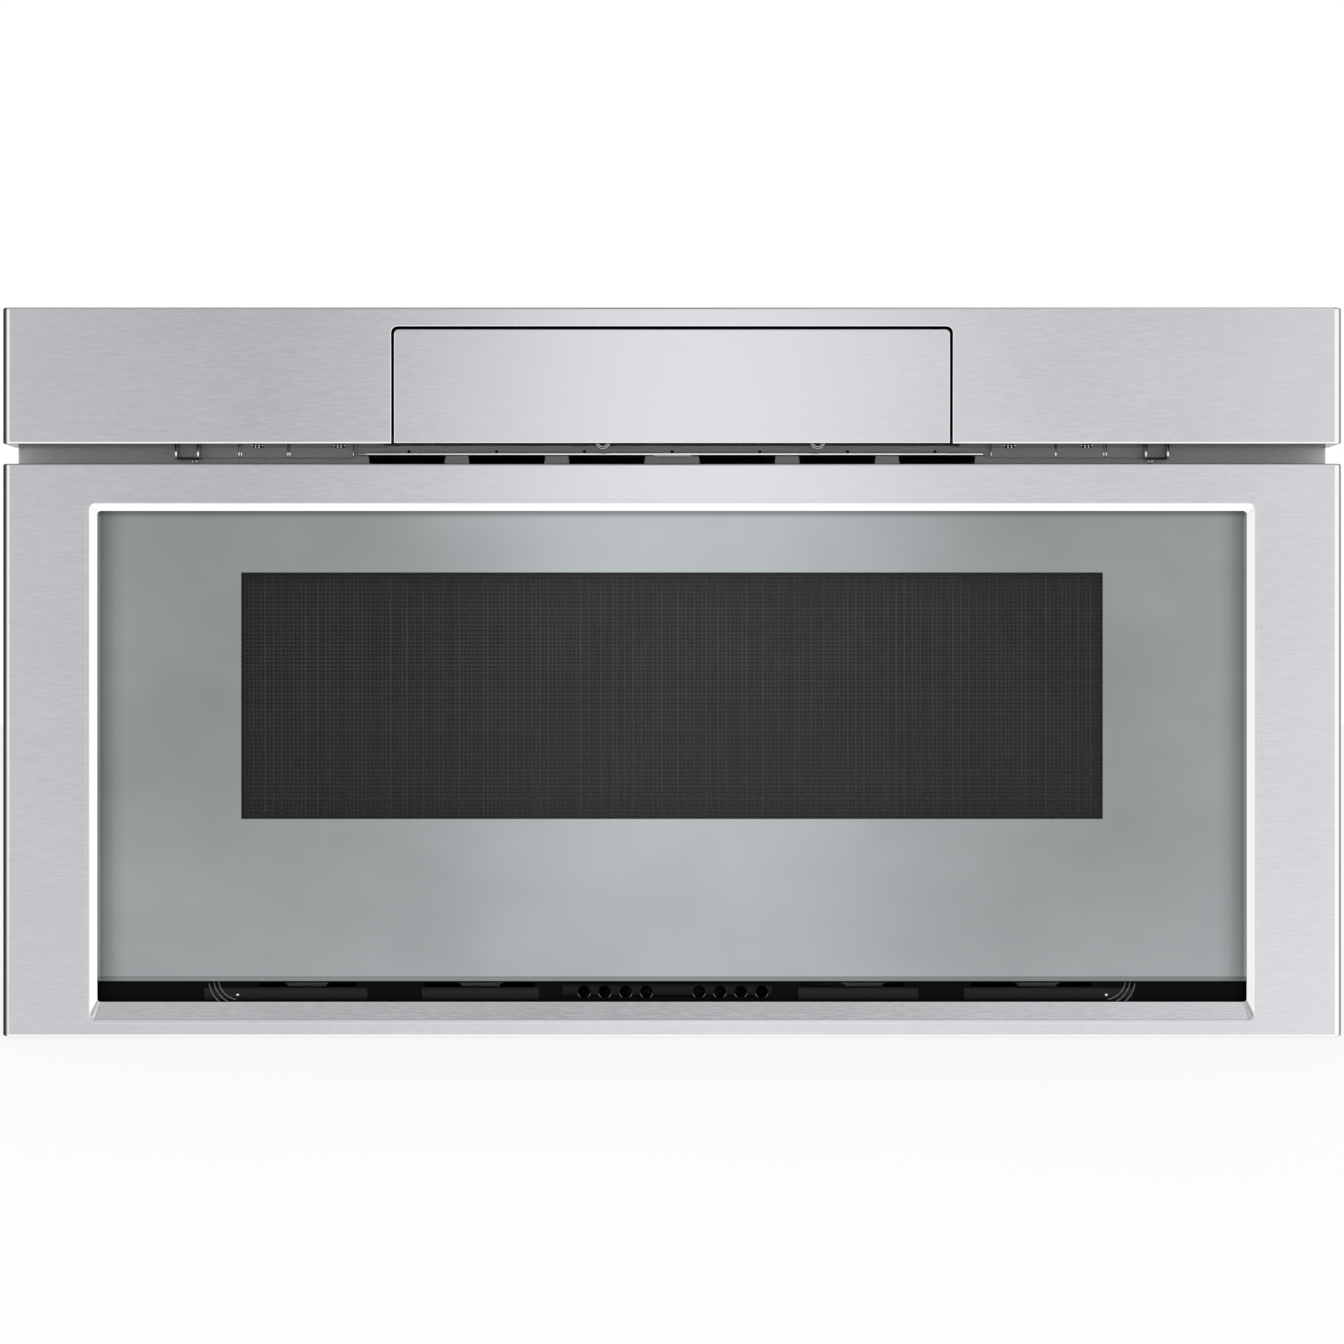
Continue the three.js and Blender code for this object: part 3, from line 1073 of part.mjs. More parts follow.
function stirrer() {
  const foot = STIRRER_COVER_Z + PLATE_SHEET + 2;
  const blade = (turn) => {
    const half = 13;
    const outline = [[8, -half / 2], [STIRRER_RADIUS, -half], [STIRRER_RADIUS, half], [8, half / 2]];
    const geometry = toGeometry(prism('z', outline, [foot + 3, foot + 4.2]));
    return toSolid(geometry.rotateZ(THREE.MathUtils.degToRad(turn)));
  };
  const hub = turned([[0, foot], [9, foot], [9, foot + 6], [SHAFT_RADIUS, foot + 8],
    [SHAFT_RADIUS, STIRRER_MOTOR_Z + 8], [0, STIRRER_MOTOR_Z + 8]], 12);
  return join(hub, blade(0), blade(90), blade(180), blade(270));
}

function fanBlade() {
  const xs = [FAN_X[0] + 4, FAN_X[1] - 4];
  const middle = (xs[0] + xs[1]) / 2;
  const blade = (turn) => {
    const vane = toGeometry(box(span(0.75, 0), span(9), [10, FAN_BORE - 4]));
    vane.rotateZ(THREE.MathUtils.degToRad(50)).translate(middle, 0, 0);
    return toSolid(vane.rotateX(THREE.MathUtils.degToRad(turn)));
  };
  return join(
    rod('x', [0, 0], 13, xs, 16),
    rod('x', [0, 0], FAN_SHAFT, [xs[1] - 1, FAN_MOTOR_X + 9], 10),
    ...[0, 72, 144, 216, 288].map(blade),
  );
}

// ---------------------------------------------------------------- materials

const finish = (color, roughness, metalness) => (
  new THREE.MeshStandardMaterial({ color, roughness, metalness }));
const stainless = finish('#cdcecf', 0.28, 1);
const galvanised = finish('#a9adaf', 0.45, 0.9);
const zincPlated = finish('#b9babb', 0.35, 1);
const mirrorGlass = finish('#5d6264', 0.05, 0.6);
const clearGlass = finish('#c9d2d2', 0.05, 0);
const blackGlass = finish('#101112', 0.06, 0);
const screenSteel = finish('#3a3b3c', 0.5, 0.6);
const blackPlastic = finish('#161718', 0.55, 0);
const greyPlastic = finish('#6d7073', 0.5, 0);
const enamel = finish('#8d9091', 0.35, 0.1);
const ceramicGlass = finish('#e4e5e2', 0.2, 0);
const mica = finish('#d8cdb4', 0.6, 0);
const darkSteel = finish('#4d5052', 0.5, 0.8);
const copperWound = finish('#8a5a3a', 0.5, 0.5);
const circuitBoard = finish('#2f5a3c', 0.6, 0);
const acetal = finish('#e9e8e2', 0.45, 0);

// ---------------------------------------------------------------- assembly

function piece(name, solid, material) {
  const mesh = new THREE.Mesh(toGeometry(solid), material);
  mesh.name = name;
  return mesh;
}

function pair(name, solid, material) {
  const right = piece(`${name}_right`, solid, material);
  const left = new THREE.Mesh(mirroredX(right.geometry), material);
  left.name = `${name}_left`;
  return [left, right];
}

function group(pieces, position = [0, 0, 0]) {
  const placed = new THREE.Group();
  placed.add(...pieces);
  placed.position.set(...position);
  return placed;
}

const chassis = group([
  piece('base_pan', basePan(), galvanised),
  piece('case_cover', caseCover(), galvanised),
  piece('back_panel', backPanel(), galvanised),
  piece('cord_gland', cordGland(), blackPlastic),
  piece('face_plate', facePlate(), stainless),
  piece('oven_cavity', ovenCavity(), enamel),
  ...pair('cavity_rail', cavityRail(), galvanised),
  piece('stirrer_cover', stirrerCover(), mica),
  piece('stirrer_motor', stirrerMotor(), zincPlated),
  piece('waveguide', waveguide(), galvanised),
  piece('magnetron', magnetron(), zincPlated),
  piece('fan_shroud', fanShroud(), blackPlastic),
  piece('fan_motor', fanMotor(), darkSteel),
  piece('exhaust_duct', exhaustDuct(), galvanised),
  piece('lamp_housing', lampHousing(), acetal),
  piece('power_transformer', powerTransformer(), copperWound),
  piece('hv_capacitor', hvCapacitor(), zincPlated),
  piece('power_board', powerBoard(), circuitBoard),
  ...pair('interlock_switch', interlockSwitch(), greyPlastic),
  ...pair('slide_support', slideSupport(), galvanised),
  ...pair('slide_outer', slideOuter(), zincPlated),
  piece('drive_bracket', driveBracket(), galvanised),
  piece('drive_motor', driveMotor(), darkSteel),
  piece('control_fascia', controlFascia(), stainless),
  piece('control_housing', controlHousing(), blackPlastic),
  piece('vent_deflector', ventDeflector(), stainless),
  ...pair('strip_bracket', stripBracket(), galvanised),
  piece('flap_drive', flapDrive(), blackPlastic),
]);

const drawer = group([
  piece('drawer_frame', drawerFrame(), stainless),
  piece('door_glass', doorGlass(), mirrorGlass),
  piece('window_screen', windowScreen(), screenSteel),
  piece('window_frame', windowFrame(), blackPlastic),
  piece('glass_carrier', glassCarrier(), galvanised),
  piece('door_inner_panel', doorInnerPanel(), galvanised),
  piece('inner_window', innerWindow(), clearGlass),
  piece('choke_cover', chokeCover(), greyPlastic),
  piece('lower_vent_grille', lowerVentGrille(), blackPlastic),
  piece('tub', tub(), stainless),
  piece('floor_tray', floorTray(), ceramicGlass),
  ...pair('drawer_arm', drawerArm(), galvanised),
  ...pair('slide_inner', slideInner(), zincPlated),
  piece('drive_rack', driveRack(), acetal),
]);

const slideMiddles = group(pair('slide_middle', slideMiddle(), zincPlated));
const plungers = group(pair('switch_plunger', switchPlunger(), blackPlastic));
const driveShaft = group([piece('drive_pinion', drivePinion(), acetal)], [0, PINION_Y, PINION_Z]);
const motorShaft = group([piece('motor_pinion', motorPinion(), zincPlated)], [0, PINION_Y, MOTOR_Z]);
const flap = group([
  piece('flap_panel', flapPanel(), stainless),
  piece('flap_carrier', flapCarrier(), blackPlastic),
  piece('touch_glass', touchGlass(), blackGlass),
], [0, PIVOT_Y, PIVOT_Z]);
const stirrerShaft = group([piece('stirrer', stirrer(), zincPlated)], [0, STIRRER_Y, 0]);
const fanShaft = group([piece('fan_blade', fanBlade(), blackPlastic)], [0, FAN_Y, FAN_Z]);

const microwaveDrawer = group([
  chassis, drawer, slideMiddles, plungers, driveShaft, motorShaft, flap, stirrerShaft, fanShaft,
]);

export default microwaveDrawer;
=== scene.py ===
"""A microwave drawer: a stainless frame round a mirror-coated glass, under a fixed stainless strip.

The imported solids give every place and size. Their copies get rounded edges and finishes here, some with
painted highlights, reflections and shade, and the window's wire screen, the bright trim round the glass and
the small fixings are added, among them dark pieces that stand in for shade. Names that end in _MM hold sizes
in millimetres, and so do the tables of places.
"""
import json

import bmesh
import bpy
import numpy as np
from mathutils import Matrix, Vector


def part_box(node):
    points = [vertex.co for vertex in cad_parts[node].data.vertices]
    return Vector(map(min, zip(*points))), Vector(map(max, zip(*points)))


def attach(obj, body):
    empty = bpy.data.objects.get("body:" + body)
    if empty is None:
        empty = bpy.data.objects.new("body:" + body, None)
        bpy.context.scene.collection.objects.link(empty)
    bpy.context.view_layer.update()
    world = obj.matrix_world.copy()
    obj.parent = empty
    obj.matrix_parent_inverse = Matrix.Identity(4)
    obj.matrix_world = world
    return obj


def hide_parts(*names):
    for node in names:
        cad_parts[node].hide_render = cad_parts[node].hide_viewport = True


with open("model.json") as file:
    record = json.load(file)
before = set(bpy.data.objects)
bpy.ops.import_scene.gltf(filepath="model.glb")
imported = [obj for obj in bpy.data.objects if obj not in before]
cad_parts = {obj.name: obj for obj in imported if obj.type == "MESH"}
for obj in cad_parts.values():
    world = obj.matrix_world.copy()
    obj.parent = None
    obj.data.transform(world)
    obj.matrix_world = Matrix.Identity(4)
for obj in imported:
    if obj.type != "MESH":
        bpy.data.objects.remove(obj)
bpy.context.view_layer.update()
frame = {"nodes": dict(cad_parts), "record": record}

MM = 0.001
record = frame["record"]
slot_of = {part["node"]: part["material_slot"] for part in record["subparts"]}
body_of = {node: body for body, nodes in record["behaviour"]["bodies"].items() for node in nodes}


# ------------------------ shader building

def linear(code):
    """An sRGB hex colour as linear red, green, blue and alpha."""
    share = np.array([int(code[i:i + 2], 16) for i in (1, 3, 5)]) / 255
    value = np.where(share <= 0.04045, share / 12.92, ((share + 0.055) / 1.055) ** 2.4)
    return (*value.tolist(), 1.0)


def add(tree, kind, inputs=None, stops=(), **settings):
    """Adds one node. Each input is named or numbered, and gets a value or another node's output. Stops are
    the (place, hex or grey) of a colour ramp, which starts with two elements."""
    made = tree.nodes.new(kind)
    for name, value in settings.items():
        setattr(made, name, value)
    for name, value in (inputs or {}).items():
        if isinstance(value, bpy.types.NodeSocket):
            tree.links.new(value, made.inputs[name])
        else:
            made.inputs[name].default_value = value
    for _ in stops[2:]:
        made.color_ramp.elements.new(0.5)
    for number, (place, colour) in enumerate(stops):
        element = made.color_ramp.elements[number]
        element.position = place
        element.color = linear(colour) if isinstance(colour, str) else (colour, colour, colour, 1.0)
    return made


def grain(tree, size_mm, detail=3.0, roughness=0.55):
    """Noise whose cells measure size_mm along X, Y and Z, centred on 0.5."""
    coordinates = add(tree, "ShaderNodeTexCoord").outputs["Object"]
    scale = tuple(1 / (MM * size) for size in size_mm)
    placed = add(tree, "ShaderNodeMapping", {"Vector": coordinates, "Scale": scale}).outputs["Vector"]
    noise = add(tree, "ShaderNodeTexNoise",
                {"Vector": placed, "Scale": 1.0, "Detail": detail, "Roughness": roughness})
    return noise.outputs["Fac"]


def shares(stops, low, high):
    """Stops whose places are given between two values, as shares of the way from one to the other."""
    return [((place - low) / (high - low), level) for place, level in stops]


def sizes_of(tree, vector):
    """The sizes of a vector's three parts, without their signs."""
    unsigned = add(tree, "ShaderNodeVectorMath", {0: vector}, operation="ABSOLUTE").outputs[0]
    return add(tree, "ShaderNodeSeparateXYZ", {0: unsigned}).outputs


NOISE_SPAN = (0.3, 0.7)           # where nearly all of a noise lies
TONE_PLACES = (0.32, 0.5, 0.68)   # places of the dark, middle and light tone in it


def finished(name, tones, grain_mm, roughness, bump_mm, blotch_mm=70.0, blotch_share=0.35, sockets=None):
    """A solid finish: colour and roughness follow a fine grain and wide soft blotches, and the grain is
    raised."""
    material = bpy.data.materials.new(name)
    material.use_nodes = True
    tree = material.node_tree
    shader = tree.nodes["Principled BSDF"]
    fine = grain(tree, grain_mm)
    wide = grain(tree, (blotch_mm,) * 3, detail=2.0)
    mixed = add(tree, "ShaderNodeMix", {0: blotch_share, 2: fine, 3: wide}).outputs[0]
    colour = add(tree, "ShaderNodeValToRGB", {0: mixed}, list(zip(TONE_PLACES, tones)))
    rough = add(tree, "ShaderNodeMapRange", {
        0: mixed, 1: NOISE_SPAN[0], 2: NOISE_SPAN[1], 3: roughness[0], 4: roughness[1]})
    raised = add(tree, "ShaderNodeBump", {"Height": fine, "Distance": bump_mm * MM, "Strength": 1.0})
    for made, socket in ((colour, "Base Color"), (rough, "Roughness"), (raised, "Normal")):
        tree.links.new(made.outputs[0], shader.inputs[socket])
    for socket, value in (sockets or {}).items():
        shader.inputs[socket].default_value = value
    return material


# ------------------------ finishes

BRUSH_MM = (7.0, 7.0, 0.6)        # strokes of the horizontal brushing, drawn coarse enough to show
METAL = {"Metallic": 1.0}
BEND_MM = (374.9, 379.4)          # the outer bends' start and end along X
# Painted reflection over each bend, as shares of it: a painted highlight, then the painted dark of the niche
# that it faces.
LEFT_BEND_REFLECTION = [(0.0, "#fdfdfd"), (0.3, "#fdfdfd"), (0.52, "#535457"), (0.9, "#333437")]
RIGHT_BEND_REFLECTION = [(0.0, "#fdfdfd"), (0.55, "#fdfdfd"), (0.72, "#a4a5a8"), (0.9, "#88898c")]
BEND_SQUARENESS = (0.93, 0.99)    # sum of the normal's fourth powers: 1 on faces square to an axis
BEND_ROUGHNESS = 0.035
UPWARD_SLANTS = (0.05, 0.5)       # how far up a bend faces where its painted shade begins and is full
UPWARD_SHADE = 0.68             # share by which the painted shade darkens it
RIGHT_HAND = (-0.1, 0.1)          # X in metres over which the right bend's shades replace the left one's
FRONT_METAL = {"Metallic": 1.0, "Specular Tint": (0.3, 0.3, 0.31, 1.0)}


def brushed_front():
    """Grade 430 stainless, belt brushed: level strokes on the flats. Bends, rims and chamfers, which face
    none of the three axes squarely, are smooth and carry a painted highlight, which turns to a painted
    reflection of grey at the outer sides, and painted shade darkens them where they face up."""
    material = finished("brushed_stainless", ("#dcdde1", "#e1e2e6", "#e6e7eb"), BRUSH_MM,
                        (0.11, 0.16), 0.0012, blotch_share=0.25, sockets=FRONT_METAL)
    tree = material.node_tree
    shader = tree.nodes["Principled BSDF"]
    brushed = shader.inputs["Base Color"].links[0].from_socket
    rough = shader.inputs["Roughness"].links[0].from_socket
    coordinates = add(tree, "ShaderNodeTexCoord").outputs
    facing = coordinates["Normal"]
    squares = add(tree, "ShaderNodeVectorMath", {0: facing, 1: facing}, operation="MULTIPLY").outputs[0]
    fourths = add(tree, "ShaderNodeVectorMath", {0: squares, 1: squares}, operation="DOT_PRODUCT")
    # curved picks the bends, rims and chamfers, whose colour is a painted highlight and painted reflection.
    curved = add(tree, "ShaderNodeMapRange", {
        0: fourths.outputs["Value"], 1: BEND_SQUARENESS[0], 2: BEND_SQUARENESS[1], 3: 1.0, 4: 0.0}).outputs[0]
    place = add(tree, "ShaderNodeSeparateXYZ", {0: coordinates["Object"]}).outputs
    sides = []
    for side, shades in ((-1, LEFT_BEND_REFLECTION), (1, RIGHT_BEND_REFLECTION)):
        start, end = (side * MM * x for x in BEND_MM)
        past = add(tree, "ShaderNodeMapRange", {0: place[0], 1: start, 2: end}).outputs[0]
        sides.append(add(tree, "ShaderNodeValToRGB", {0: past}, shades).outputs[0])
    right_hand = add(tree, "ShaderNodeMapRange", {0: place[0], 1: RIGHT_HAND[0], 2: RIGHT_HAND[1]}).outputs[0]
    bright = add(tree, "ShaderNodeMix", {0: right_hand, 6: sides[0], 7: sides[1]},
                 data_type="RGBA").outputs[2]
    # Painted shade: the bends, rims and chamfers darken where they face up.
    upward = add(tree, "ShaderNodeSeparateXYZ", {0: facing}).outputs[2]
    top_shade = add(tree, "ShaderNodeMapRange", {
        0: upward, 1: UPWARD_SLANTS[0], 2: UPWARD_SLANTS[1], 3: 0.0, 4: UPWARD_SHADE}).outputs[0]
    bend_light_and_shade = add(tree, "ShaderNodeMix", {0: top_shade, 6: bright, 7: linear("#000000")}, data_type="RGBA").outputs[2]
    colour = add(tree, "ShaderNodeMix", {0: curved, 6: brushed, 7: bend_light_and_shade}, data_type="RGBA").outputs[2]
    tree.links.new(colour, shader.inputs["Base Color"])
    smooth = add(tree, "ShaderNodeMix", {0: curved, 2: rough, 3: BEND_ROUGHNESS}).outputs[0]
    tree.links.new(smooth, shader.inputs["Roughness"])
    return material


finish = {
    "stainless_front": brushed_front(),
    # The same sheet left as rolled: greyer, duller, no strokes.
    "stainless_sheet": finished("rolled_stainless", ("#a9abad", "#b4b6b8", "#c0c2c4"), (2.5, 2.5, 1.2),
                                (0.26, 0.4), 0.006, sockets=METAL),
    # Hot-dip galvanised steel: faint crystals about 8 mm across, dull zinc grey.
    "galvanised_sheet": finished("galvanised_steel", ("#9a9fa2", "#aaafb2", "#bcc1c3"), (8, 8, 8),
                                 (0.34, 0.52), 0.01, blotch_mm=120, sockets={"Metallic": 0.85}),
    # Steel with bright zinc plate, as on telescopic slides.
    "zinc_steel": finished("zinc_plated_steel", ("#a9acae", "#b6b9bb", "#c3c6c7"), (3, 6, 1),
                           (0.24, 0.38), 0.004, sockets={"Metallic": 0.95}),
    # Grey cavity enamel fired on steel: slightly pebbled and glossy.
    "cavity_enamel": finished("cavity_enamel", ("#85888a", "#8f9294", "#999c9e"), (1.6, 1.6, 1.6),
                              (0.28, 0.4), 0.02, sockets={"IOR": 1.52}),
    # Steel sheet with a dark heat-proof coat.
    "screen_steel": finished("dark_coated_steel", ("#1b1c1d", "#242526", "#2d2e2f"), (1.2, 1.2, 1.2),
                             (0.45, 0.6), 0.01, sockets={"Metallic": 0.2}),
    # White glass-ceramic, lightly speckled where dishes slide.
    "ceramic_glass": finished("white_glass_ceramic", ("#dcddd7", "#e4e5df", "#ebece6"), (2.2, 2.2, 2.2),
                              (0.12, 0.24), 0.004, sockets={"IOR": 1.54}),
    # Black printed touch glass: deep gloss with a trace of dust.
    "touch_glass": finished("black_touch_glass", ("#0b0b0d", "#0e0e10", "#141416"), (6, 6, 6),
                            (0.05, 0.1), 0.001, sockets={"IOR": 1.52}),
    # Polypropylene and ABS moulded with a fine spark-eroded texture.
    "black_plastic": finished("black_moulding", ("#131416", "#191a1c", "#202123"), (0.9, 0.9, 0.9),
                              (0.42, 0.58), 0.03, sockets={"IOR": 1.46}),
    "grey_plastic": finished("grey_moulding", ("#666a6c", "#6f7375", "#797d7f"), (0.9, 0.9, 0.9),
                             (0.4, 0.55), 0.03, sockets={"IOR": 1.46}),
    # Acetal gears and plungers: milky, waxy white.
    "acetal": finished("natural_acetal", ("#dfdfd8", "#e7e7e0", "#eeeee8"), (2, 2, 2),
                       (0.3, 0.42), 0.01, sockets={"IOR": 1.48, "Subsurface Weight": 0.1}),
    # Pressed mica: tan flakes with silvery glints.
    "mica_sheet": finished("pressed_mica", ("#b5a583", "#cdbe9e", "#dfd3b8"), (5, 5, 5),
                           (0.25, 0.5), 0.02, blotch_mm=30, sockets={"IOR": 1.58}),
    # Motor cans and drawn covers in dark grey paint.
    "dark_steel": finished("dark_painted_steel", ("#333537", "#3c3e40", "#46484a"), (1.5, 1.5, 1.5),
                           (0.4, 0.55), 0.015, sockets={"Metallic": 0.3}),
    # Laminated core and varnished winding, in brown-black varnish.
    "wound_copper": finished("varnished_core", ("#4a3423", "#5d432e", "#74563b"), (40, 40, 0.7),
                             (0.35, 0.5), 0.1, sockets={"Metallic": 0.4}),
    # Green solder mask over glass cloth, with moulded parts on it.
    "circuit_board": finished("solder_mask", ("#1f4a2c", "#275a36", "#316a41"), (1.8, 1.8, 1.8),
                              (0.3, 0.45), 0.02, sockets={"IOR": 1.55}),
    # Plain float glass seen at a right angle: mostly see-through, with a green-grey cast and soft gloss.
    "clear_glass": finished("clear_float_glass", ("#6f7a78", "#76807e", "#7d8785"), (60, 60, 60),
                            (0.03, 0.08), 0.0005, sockets={"IOR": 1.52, "Alpha": 0.3}),
}

WINDOW_HALF_MM = 244.4            # the clear part of the mirror coating
WINDOW_Z_MM = (124.9, 264.8)
GLASS_EDGE_MM = (325.9, 299.6)    # where the frame's lip ends beside and above the glass
GLASS_FOOT_MM = 35.7              # top of the ground bevel at the glass's foot
GLASS_SHADE_MM = 16.0             # reach of the frame's shade at its sides
LIP_SHADE_MM = 5.0               # and of the painted shade under its upper lip
# Painted shade on the glass beside the frame's sides and under its upper lip, as (share of the reach, factor
# on the coat's tone).
SIDE_SHADES = [(0.0, 0.85), (0.05, 0.66), (0.1, 0.5), (0.14, 0.45), (0.19, 0.5), (0.26, 0.58), (0.4, 0.66),
               (0.66, 0.87), (1.0, 1.0)]
LIP_SHADES = [(0.0, 0.5), (0.25, 0.53), (0.46, 0.72), (0.7, 0.93), (1.0, 1.0)]
FOOT_SHADES = [(0.0, 0.55), (1.0, 1.0)]
FOOT_EDGE_MM = 0.2                # width over which the bevel's shade ends
ACROSS_REFLECTION_HALF_MM = 330.0
# Painted reflection across the glass, as factors on the coat's tone from one side to the other.
ACROSS_REFLECTION = [(0.0, 1.0), (0.18, 0.97), (0.36, 1.05), (0.5, 1.0), (0.65, 0.99), (0.8, 0.87), (1.0, 0.86)]
WINDOW_ALPHA = 0.42


def within(tree, coordinate, low_mm, high_mm):
    """1 where a coordinate lies between two values, else 0."""
    above = add(tree, "ShaderNodeMath", {0: coordinate, 1: low_mm * MM}, operation="GREATER_THAN").outputs[0]
    below = add(tree, "ShaderNodeMath", {0: coordinate, 1: high_mm * MM}, operation="LESS_THAN").outputs[0]
    return add(tree, "ShaderNodeMath", {0: above, 1: below}, operation="MULTIPLY").outputs[0]


def coated_glass():
    """Soda-lime glass, mirror coated in tinted silver but for the window, which is clear and smoky. Painted
    shade darkens the coat within 16 mm of the frame's sides and under its upper lip, a painted reflection
    makes it lighter and darker from side to side, and the ground bevel at the foot is darker."""
    material = bpy.data.materials.new("mirror_coated_glass")
    material.use_nodes = True
    tree = material.node_tree
    shader = tree.nodes["Principled BSDF"]
    place = add(tree, "ShaderNodeTexCoord").outputs["Object"]
    axes = sizes_of(tree, place)
    window = add(tree, "ShaderNodeMath", {
        0: within(tree, axes[0], -1, WINDOW_HALF_MM), 1: within(tree, axes[2], *WINDOW_Z_MM),
    }, operation="MULTIPLY").outputs[0]
    beside, under = (add(tree, "ShaderNodeMath", {0: edge * MM, 1: axis}, operation="SUBTRACT").outputs[0]
                     for edge, axis in zip(GLASS_EDGE_MM, (axes[0], axes[2])))
    haze = grain(tree, (90, 90, 60), detail=2.0)
    silver = add(tree, "ShaderNodeValToRGB", {0: haze}, [(0.3, "#afb5b6"), (0.7, "#b8bebf")]).outputs[0]
    across = add(tree, "ShaderNodeSeparateXYZ", {0: place}).outputs[0]
    # Painted shade at the sides and under the lip, the darker ground foot, and the painted reflection across
    # the glass.
    shades = [(under, 0.0, LIP_SHADE_MM, LIP_SHADES), (beside, 0.0, GLASS_SHADE_MM, SIDE_SHADES),
              (axes[2], GLASS_FOOT_MM - FOOT_EDGE_MM, GLASS_FOOT_MM, FOOT_SHADES),
              (across, -ACROSS_REFLECTION_HALF_MM, ACROSS_REFLECTION_HALF_MM, ACROSS_REFLECTION)]
    tone = silver
    for value, start, end, stops in shades:
        share = add(tree, "ShaderNodeMapRange", {0: value, 1: start * MM, 2: end * MM}).outputs[0]
        factor = add(tree, "ShaderNodeValToRGB", {0: share}, stops).outputs[0]
        tone = add(tree, "ShaderNodeMix", {0: 1.0, 6: tone, 7: factor}, data_type="RGBA",
                   blend_type="MULTIPLY").outputs[2]
    colour = add(tree, "ShaderNodeMix", {0: window, 6: tone, 7: linear("#0d0d0e")}, data_type="RGBA")
    tree.links.new(colour.outputs[2], shader.inputs["Base Color"])
    inside = (0.0, 1.0)
    for value, (start, end), (low, high), socket in ((window, inside, (1.0, 0.0), "Metallic"),
                                                     (haze, NOISE_SPAN, (0.05, 0.09), "Roughness"),
                                                     (window, inside, (1.0, WINDOW_ALPHA), "Alpha")):
        mapped = add(tree, "ShaderNodeMapRange", {0: value, 1: start, 2: end, 3: low, 4: high})
        tree.links.new(mapped.outputs[0], shader.inputs[socket])
    shader.inputs["IOR"].default_value = 1.52
    return material


finish["tinted_glass"] = coated_glass()

# Zinc-coated sheet deep in the gap between the fronts, where little light comes: plain, and lighter than the
# zinc sheet elsewhere, as painted light to make up for the gap's shade.
gap_steel_lightened = finished("lightened_zinc_sheet", ("#c8c8c8", "#d0d0d0", "#d8d8d8"), (4, 4, 2), (0.45, 0.6), 0.006,
                     sockets={"Metallic": 0.7})
# Polished edges and screw heads: they gather light.
polished_steel = finished("polished_steel", ("#f1f1f2", "#f8f8f8", "#ffffff"), (3, 3, 3), (0.08, 0.16), 0.001,
                          sockets=METAL)
PAD_DEPTHS_MM = (-286.7, -286.0)  # the grille's pads swell forward between these


def grille_black():
    """Black polypropylene, matt and deep; the pads that swell forward are a lighter satin grey, as a painted
    sheen.
    """
    material = finished("matt_black_moulding", ("#020203", "#030304", "#050506"), (0.9, 0.9, 0.9),
                        (0.5, 0.66), 0.03, sockets={"IOR": 1.46, "Specular IOR Level": 0.12})
    tree = material.node_tree
    shader = tree.nodes["Principled BSDF"]
    moulded = shader.inputs["Base Color"].links[0].from_socket
    place = add(tree, "ShaderNodeSeparateXYZ", {0: add(tree, "ShaderNodeTexCoord").outputs["Object"]}).outputs
    start, end = (MM * y for y in PAD_DEPTHS_MM)
    # Painted sheen: the pads turn lighter where they swell forward.
    forward_sheen = add(tree, "ShaderNodeMapRange", {0: place[1], 1: start, 2: end, 3: 1.0, 4: 0.0}).outputs[0]
    colour = add(tree, "ShaderNodeMix", {0: forward_sheen, 6: moulded, 7: linear("#232527")}, data_type="RGBA")
    tree.links.new(colour.outputs[2], shader.inputs["Base Color"])
    return material


grille_moulding = grille_black()
own_finish = {"face_plate": gap_steel_lightened, "strip_bracket_left": gap_steel_lightened, "strip_bracket_right": gap_steel_lightened,
              "vent_deflector": gap_steel_lightened, "lower_vent_grille": grille_moulding}


# ------------------------ meshes

def settle(name, mesh, body, slot, material=None):
    """Puts a mesh in the scene as a smooth-shaded piece that rides with a body. Its finish is its slot's,
    unless it has one of its own."""
    piece = bpy.data.objects.new(name, mesh)
    bpy.context.scene.collection.objects.link(piece)
    mesh.polygons.foreach_set("use_smooth", np.ones(len(mesh.polygons), bool))
    mesh.materials.clear()
    mesh.materials.append(material or finish[slot])
    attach(piece, body)
    return piece


SHARP_EDGE = np.radians(38)       # edges that turn more than this are rounded


def round_edges(piece, radius_mm):
    """Rounds the sharp edges and keeps the flats between them flat in the shading."""
    bevel = piece.modifiers.new("rounded edges", "BEVEL")
    bevel.width = radius_mm * MM
    bevel.segments = 2
    bevel.limit_method = "ANGLE"
    bevel.angle_limit = SHARP_EDGE
    flats = piece.modifiers.new("flat faces", "WEIGHTED_NORMAL")
    flats.weight = 100
    flats.keep_sharp = False


FOLD_EDGE_MM = 1.1                # bends along the fronts' outer edges
CUT_EDGE_MM = 0.6                 # rounding of the edges along the flap's seam
TOUCH_MM = 0.15                   # how near a point has to be to lie on a surface
LEVEL_MM = 0.05                   # how near to a front's top or foot
WELD_MM = 0.002                   # points of a solid nearer than this become one
COPLANAR = np.radians(0.4)        # faces that turn less than this become one


def on_outside(point, low):
    """Whether a point of a front lies on its outer surface: the face, a side, or the bend between them."""
    across, depth = abs(point.x) / MM, point.y / MM
    past = across - BEND_MM[0]
    radius = BEND_MM[1] - BEND_MM[0]
    centre = low[1] / MM + radius
    if past <= 0:
        return depth < low[1] / MM + TOUCH_MM
    return abs((np.hypot(past, centre - depth) if depth < centre else past) - radius) < TOUCH_MM


